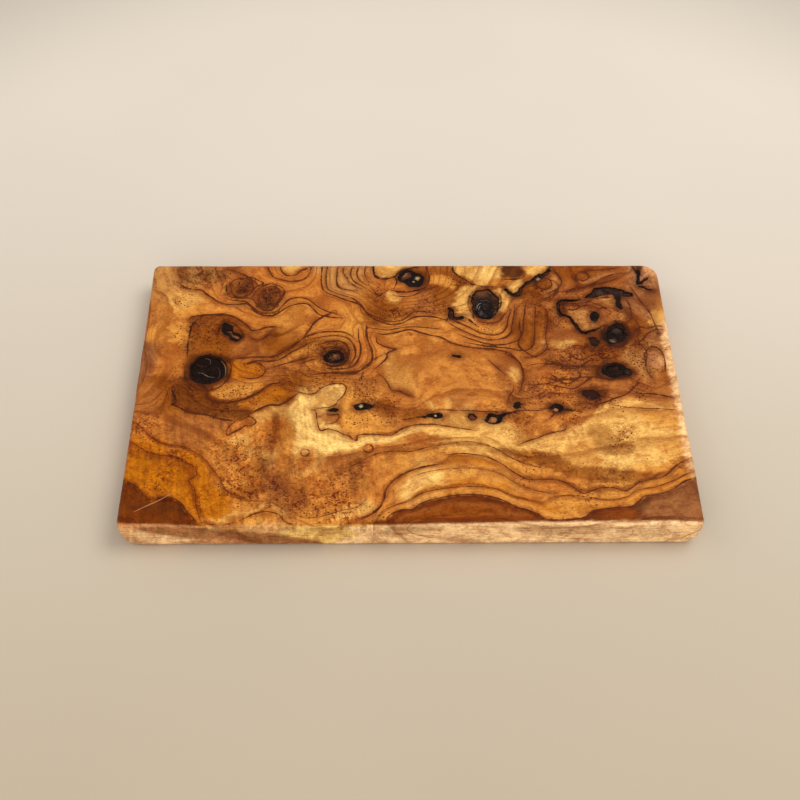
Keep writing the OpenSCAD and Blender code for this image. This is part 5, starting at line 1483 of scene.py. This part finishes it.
GLINTS_AND_STROKES = {
    # the pale lines on the left knot and on its resin are painted glints along its cracks and right rim
    "left_knot": [
        (0.12, (132, 112, 98), "-121 20.8, -119.4 20.4, -118.2 19, -117.8 16.6"),
        (0.14, (146, 128, 112), "-124.4 9.6, -122 9.2, -120.4 8, -118 6.4, -115 6"),
        (0.1, (84, 62, 50), "-126 16.6, -124 14.6, -122.4 14.2, -120 14.8"),
        (0.12, (96, 78, 74), "-113.4 13.6, -112 11.4, -111.6 8, -112.4 5"),
    ],
    "left_knot_resin": [
        (0.14, (176, 128, 84), "-111.6 18.4, -109.6 15.8, -108.5 12.4, -108.3 8.4, -109 5"),
    ],
    # painted glints on the round knot's resin
    "round_knot_resin": [
        (0.22, (190, 182, 166), "43.4 61.6, 43.8 63.4, 44.8 65, 46 65.8"),
        (0.18, (170, 160, 146), "44.4 60.2, 44.8 61.8, 45.4 63"),
        (0.13, (120, 108, 98), "47 67.4, 49.4 68.4, 51.4 67"),
    ],
    # a painted glint on the pin knot's resin
    "pin_knot_resin": [
        (0.2, (120, 120, 112), "114.4 50.4, 115.8 49.8, 117.2 50.6"),
    ],
    "eye_knot": [
        (0.14, (60, 28, 14), "-46 24, -44 24.6, -42.4 23, -42.8 20.6, -45 20, -46.4 21.6"),
    ],
}


def glints_and_marks(node, points):
    """Colour and strength of a fill's own spots, lines and painted glints at each of its points. The
    strongest one shows.
    """
    x, y = points.T
    ragged = 0.25 * waves(x, y, 1.6, 91)
    found = []
    for spot_x, spot_y, radius, colour in GLINTS_AND_SPOTS.get(node, []):
        distance = np.hypot(x - spot_x, y - spot_y) / radius
        found.append((colour, 1.25 - distance + ragged))
    for half_width, colour, corners in GLINTS_AND_STROKES.get(node, []):
        found.append((colour, 0.6 - line_gap(points, [(half_width, corners)]) / 0.35))
    mark = np.zeros((len(points), 4))
    for colour, strength in found:
        strength = np.clip(strength, 0, 1)
        stronger = strength > mark[:, 3]
        mark[stronger, :3] = linear(colour)
        mark[stronger, 3] = strength[stronger]
    return mark


def resin_top(x, y, wall):
    """Height of resin over its usual level: it climbs the walls and dimples as it cures."""
    climb = 0.03 * np.exp(-wall / 0.5)
    dimple = 0.03 * waves(x, y, 5.5, 71) + 0.005 * waves(x, y, 1.9, 72)
    return climb + dimple * np.clip(wall / 0.8, 0, 1)


def hollows(x, y):
    """How far into a crack each place is, from 0 to 1: cracks follow where a wavy field is near 0."""
    first = np.abs(waves(x, y, 4.2, 81))
    second = np.abs(waves(x, y, 2.3, 82))
    return np.maximum(np.clip(1 - first / 0.32, 0, 1), 0.7 * np.clip(1 - second / 0.3, 0, 1))


def bark_top(x, y, wall):
    """Height of bark or dead wood over its usual level: lumps and cracks, low beside the walls."""
    lumps = 0.10 * waves(x, y, 3.0, 83) + 0.05 * waves(x, y, 1.1, 84)
    return lumps - 0.45 * hollows(x, y) - 0.25 * np.exp(-wall / 0.5)


def polished_top(x, y, wall):
    """Height of a dead knot rubbed nearly flat: faint lumps and hairline cracks."""
    return 0.08 * waves(x, y, 3.4, 85) - 0.12 * hollows(x, y) - 0.2 * np.exp(-wall / 0.4)


def fill_outlines(node, height):
    """Outlines of a fill at a height, clear of its pocket by a small gap."""
    raw = flat_loops(node, height)
    loops = []
    for number, loop in enumerate(raw):
        others = raw[:number] + raw[number + 1:]
        hole = bool(within(loop[:1], others)[0])
        loops.append(grown(torn(loop), FIT if hole else -FIT))
    return loops


def close_side(shell, upper, lower):
    """Bands of faces from the upper rim of a fill down to the lower one."""
    above = shell.points[upper]
    below = shell.points[lower]
    ring = upper
    for share in (0.15, 0.6):
        band = shell.add(above[:, :2], above[:, 2] * (1 - share) + below[:, 2] * share)
        shell.join(ring, band)
        ring = band
    shell.join(ring, lower)


def build_fill(node, top, material):
    """A knot, bark or resin piece, cut to the outline of its CAD node."""
    low, high = [np.array(corner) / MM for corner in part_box(node)]
    loops = fill_outlines(node, high[2])
    strokes = [spline(corners, 0.3) for _, _, corners in GLINTS_AND_STROKES.get(node, [])]
    points, faces, edges = fill_region(loops, FILL_STEP, np.vstack(strokes) if strokes else None)
    x, y = points.T
    wall = gap_to(points, np.vstack(loops))[0]
    shell = Shell()
    upper = shell.add(points, np.minimum(high[2] + top(x, y, wall), THICK - SUNK))
    if low[2] < THROUGH:
        # it shows on the underside too, where its unevenness is another
        lower = shell.add(points, np.maximum(low[2] - top(x + 50, y, wall), SUNK))
    else:
        lower = shell.add(points, low[2] + FIT)
    shell.cover(faces, upper)
    shell.cover(faces, lower)
    for edge in edges:
        close_side(shell, upper[edge], lower[edge])
    made = shell.build(node + "_look", 40)
    made.data.materials.append(material)
    around = np.zeros(len(shell.points))
    around[:2 * len(points)] = np.tile(wall, 2)
    carry(made, "wall", around)
    carry(made, "hollow", hollows(shell.points[:, 0], shell.points[:, 1]))
    # the fill's own spots and lines, with painted glints among them
    carry(made, "mark", glints_and_marks(node, shell.points[:, :2]))
    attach(made, "root")
    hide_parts(node)
    return made


def add_fills():
    """Every knot, bark pocket and pool of resin, told apart by the names of their CAD nodes."""
    resin = resin_finish()
    black = bark_finish("black_dead_wood", (10, 5, 3), (34, 17, 10), (62, 32, 19), (0.22, 0.5), 0.05)
    bark = bark_finish("inner_bark", (24, 12, 8), (66, 36, 22), (110, 66, 38))
    dead = bark_finish("dead_knot_wood", (52, 27, 15), (104, 58, 34), (140, 86, 52))
    black_knots = ("left_knot", "side_knot", "corner_knot")
    for node in FILLS:
        if node.endswith("_resin"):
            build_fill(node, resin_top, resin)
        elif node.endswith("_bark"):
            build_fill(node, bark_top, bark)
        elif node in black_knots:
            build_fill(node, polished_top, black)
        else:
            build_fill(node, bark_top, dead)


def add_board():
    """The slab of burl itself, in one piece."""
    shell = board_shell()
    made = shell.build("burl_board")
    draw_figure(made, shell.points)
    made.data.materials.append(BurlFinish().finished())
    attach(made, "root")
    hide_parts("board_slab")


add_board()
add_fills()


# ---------------------------------------------------------------------------------------------
# Floor, light and camera
# ---------------------------------------------------------------------------------------------
MIDDLE = (0, 0, 0.02)                       # what the lights face, in metres
EYE_X, EYE_Y, EYE_Z = -18.22, -496.33, 588.45   # the camera, from the middle of the top face
PITCH = 0.882309                            # radians that the camera looks down
YAW = 0.0267652                             # radians that it looks to the right
ROLL = 0.0177484                            # radians that it leans
FOCAL, SENSOR = 58.82, 36                   # focal length and width of the sensor


def floor_finish():
    """Warm off-white plaster with faint clouds and a fine tooth, with painted shade that makes it darker
    to the front and far out.
    """
    f = Finish("pale_floor")
    place = f.place()
    cloud = f.noise(place, 260, 2, 0.5)
    tooth = f.noise(place, 1.4, 3, 0.6)
    x, y, _ = f.split(place)
    # painted shade: darker to the front, where less light reaches the floor
    colour = f.mix(f.ease(y, -330, 300), (190, 175, 151), (222, 212, 198))
    outer = f.math("SQRT", f.total(f.product(x, x), f.product(y, y)))
    # painted shade: darker far out from the board, as the light falls off towards the edges of the view
    colour = f.times(colour, f.ease(outer, 380, 620, 1.0, 0.66))
    colour = f.mix(f.ease(cloud, 0.35, 0.65, 0, 0.5), colour, f.times(colour, 0.95))
    return f.done(colour, f.ease(tooth, 0.2, 0.8, 0.62, 0.75), tooth, 0.02)


def add_floor():
    """A wide floor just under the board."""
    mesh = bpy.data.meshes.new("floor")
    work = bmesh.new()
    bmesh.ops.create_grid(work, x_segments=24, y_segments=24, size=4)
    work.to_mesh(mesh)
    work.free()
    floor = bpy.data.objects.new("floor", mesh)
    bpy.context.scene.collection.objects.link(floor)
    floor.location.z = -0.02 * MM
    mesh.materials.append(floor_finish())


def add_light(name, place, watts, colour, size_x, size_y):
    """A rectangular light that faces the middle of the board, in metres."""
    data = bpy.data.lights.new(name, "AREA")
    data.energy = watts
    data.color = colour
    data.shape = "RECTANGLE"
    data.size = size_x
    data.size_y = size_y
    light = bpy.data.objects.new(name, data)
    light.location = place
    light.rotation_euler = (Vector(MIDDLE) - Vector(place)).to_track_quat("-Z", "Y").to_euler()
    bpy.context.scene.collection.objects.link(light)


def add_lights():
    """An even room, a window on the right, weak light from the front and left, and a small pane.

    The window stays out of what the dark resin mirrors to the camera; only the pane glints in it.
    """
    world = bpy.data.worlds.new("room")
    world.use_nodes = True
    room = world.node_tree.nodes["Background"].inputs
    room["Color"].default_value = (1.0, 0.97, 0.93, 1)
    room["Strength"].default_value = 0.66
    bpy.context.scene.world = world
    warm = (1.0, 0.975, 0.94)
    add_light("window", (1.25, 0.45, 2.15), 28, warm, 1.6, 1.4)
    add_light("room_front", (-0.5, -2.0, 1.1), 12, warm, 2.4, 1.2)
    add_light("room_left", (-2.0, 0.4, 1.6), 6, warm, 1.6, 1.4)
    add_light("pane", (0.25, 1.25, 1.3), 0.12, (1.0, 0.98, 0.95), 0.06, 0.06)


def add_camera():
    """The camera of the photograph, from its place over the front of the board."""
    data = bpy.data.cameras.new("camera")
    data.lens = FOCAL
    data.sensor_width = SENSOR
    camera = bpy.data.objects.new("camera", data)
    flat = math.cos(PITCH)
    ahead = Vector((math.sin(YAW) * flat, math.cos(YAW) * flat, -math.sin(PITCH)))
    level = Vector((math.cos(YAW), -math.sin(YAW), 0))
    right = level * math.cos(ROLL) + level.cross(ahead) * math.sin(ROLL)
    up = right.cross(ahead)
    place = Vector((EYE_X, EYE_Y, EYE_Z + THICK)) * MM
    turn = Matrix((right, up, -ahead)).transposed().to_4x4()
    camera.matrix_world = Matrix.Translation(place) @ turn
    bpy.context.scene.collection.objects.link(camera)
    bpy.context.scene.camera = camera


bpy.context.scene.view_settings.view_transform = "Standard"
add_floor()
add_lights()
add_camera()
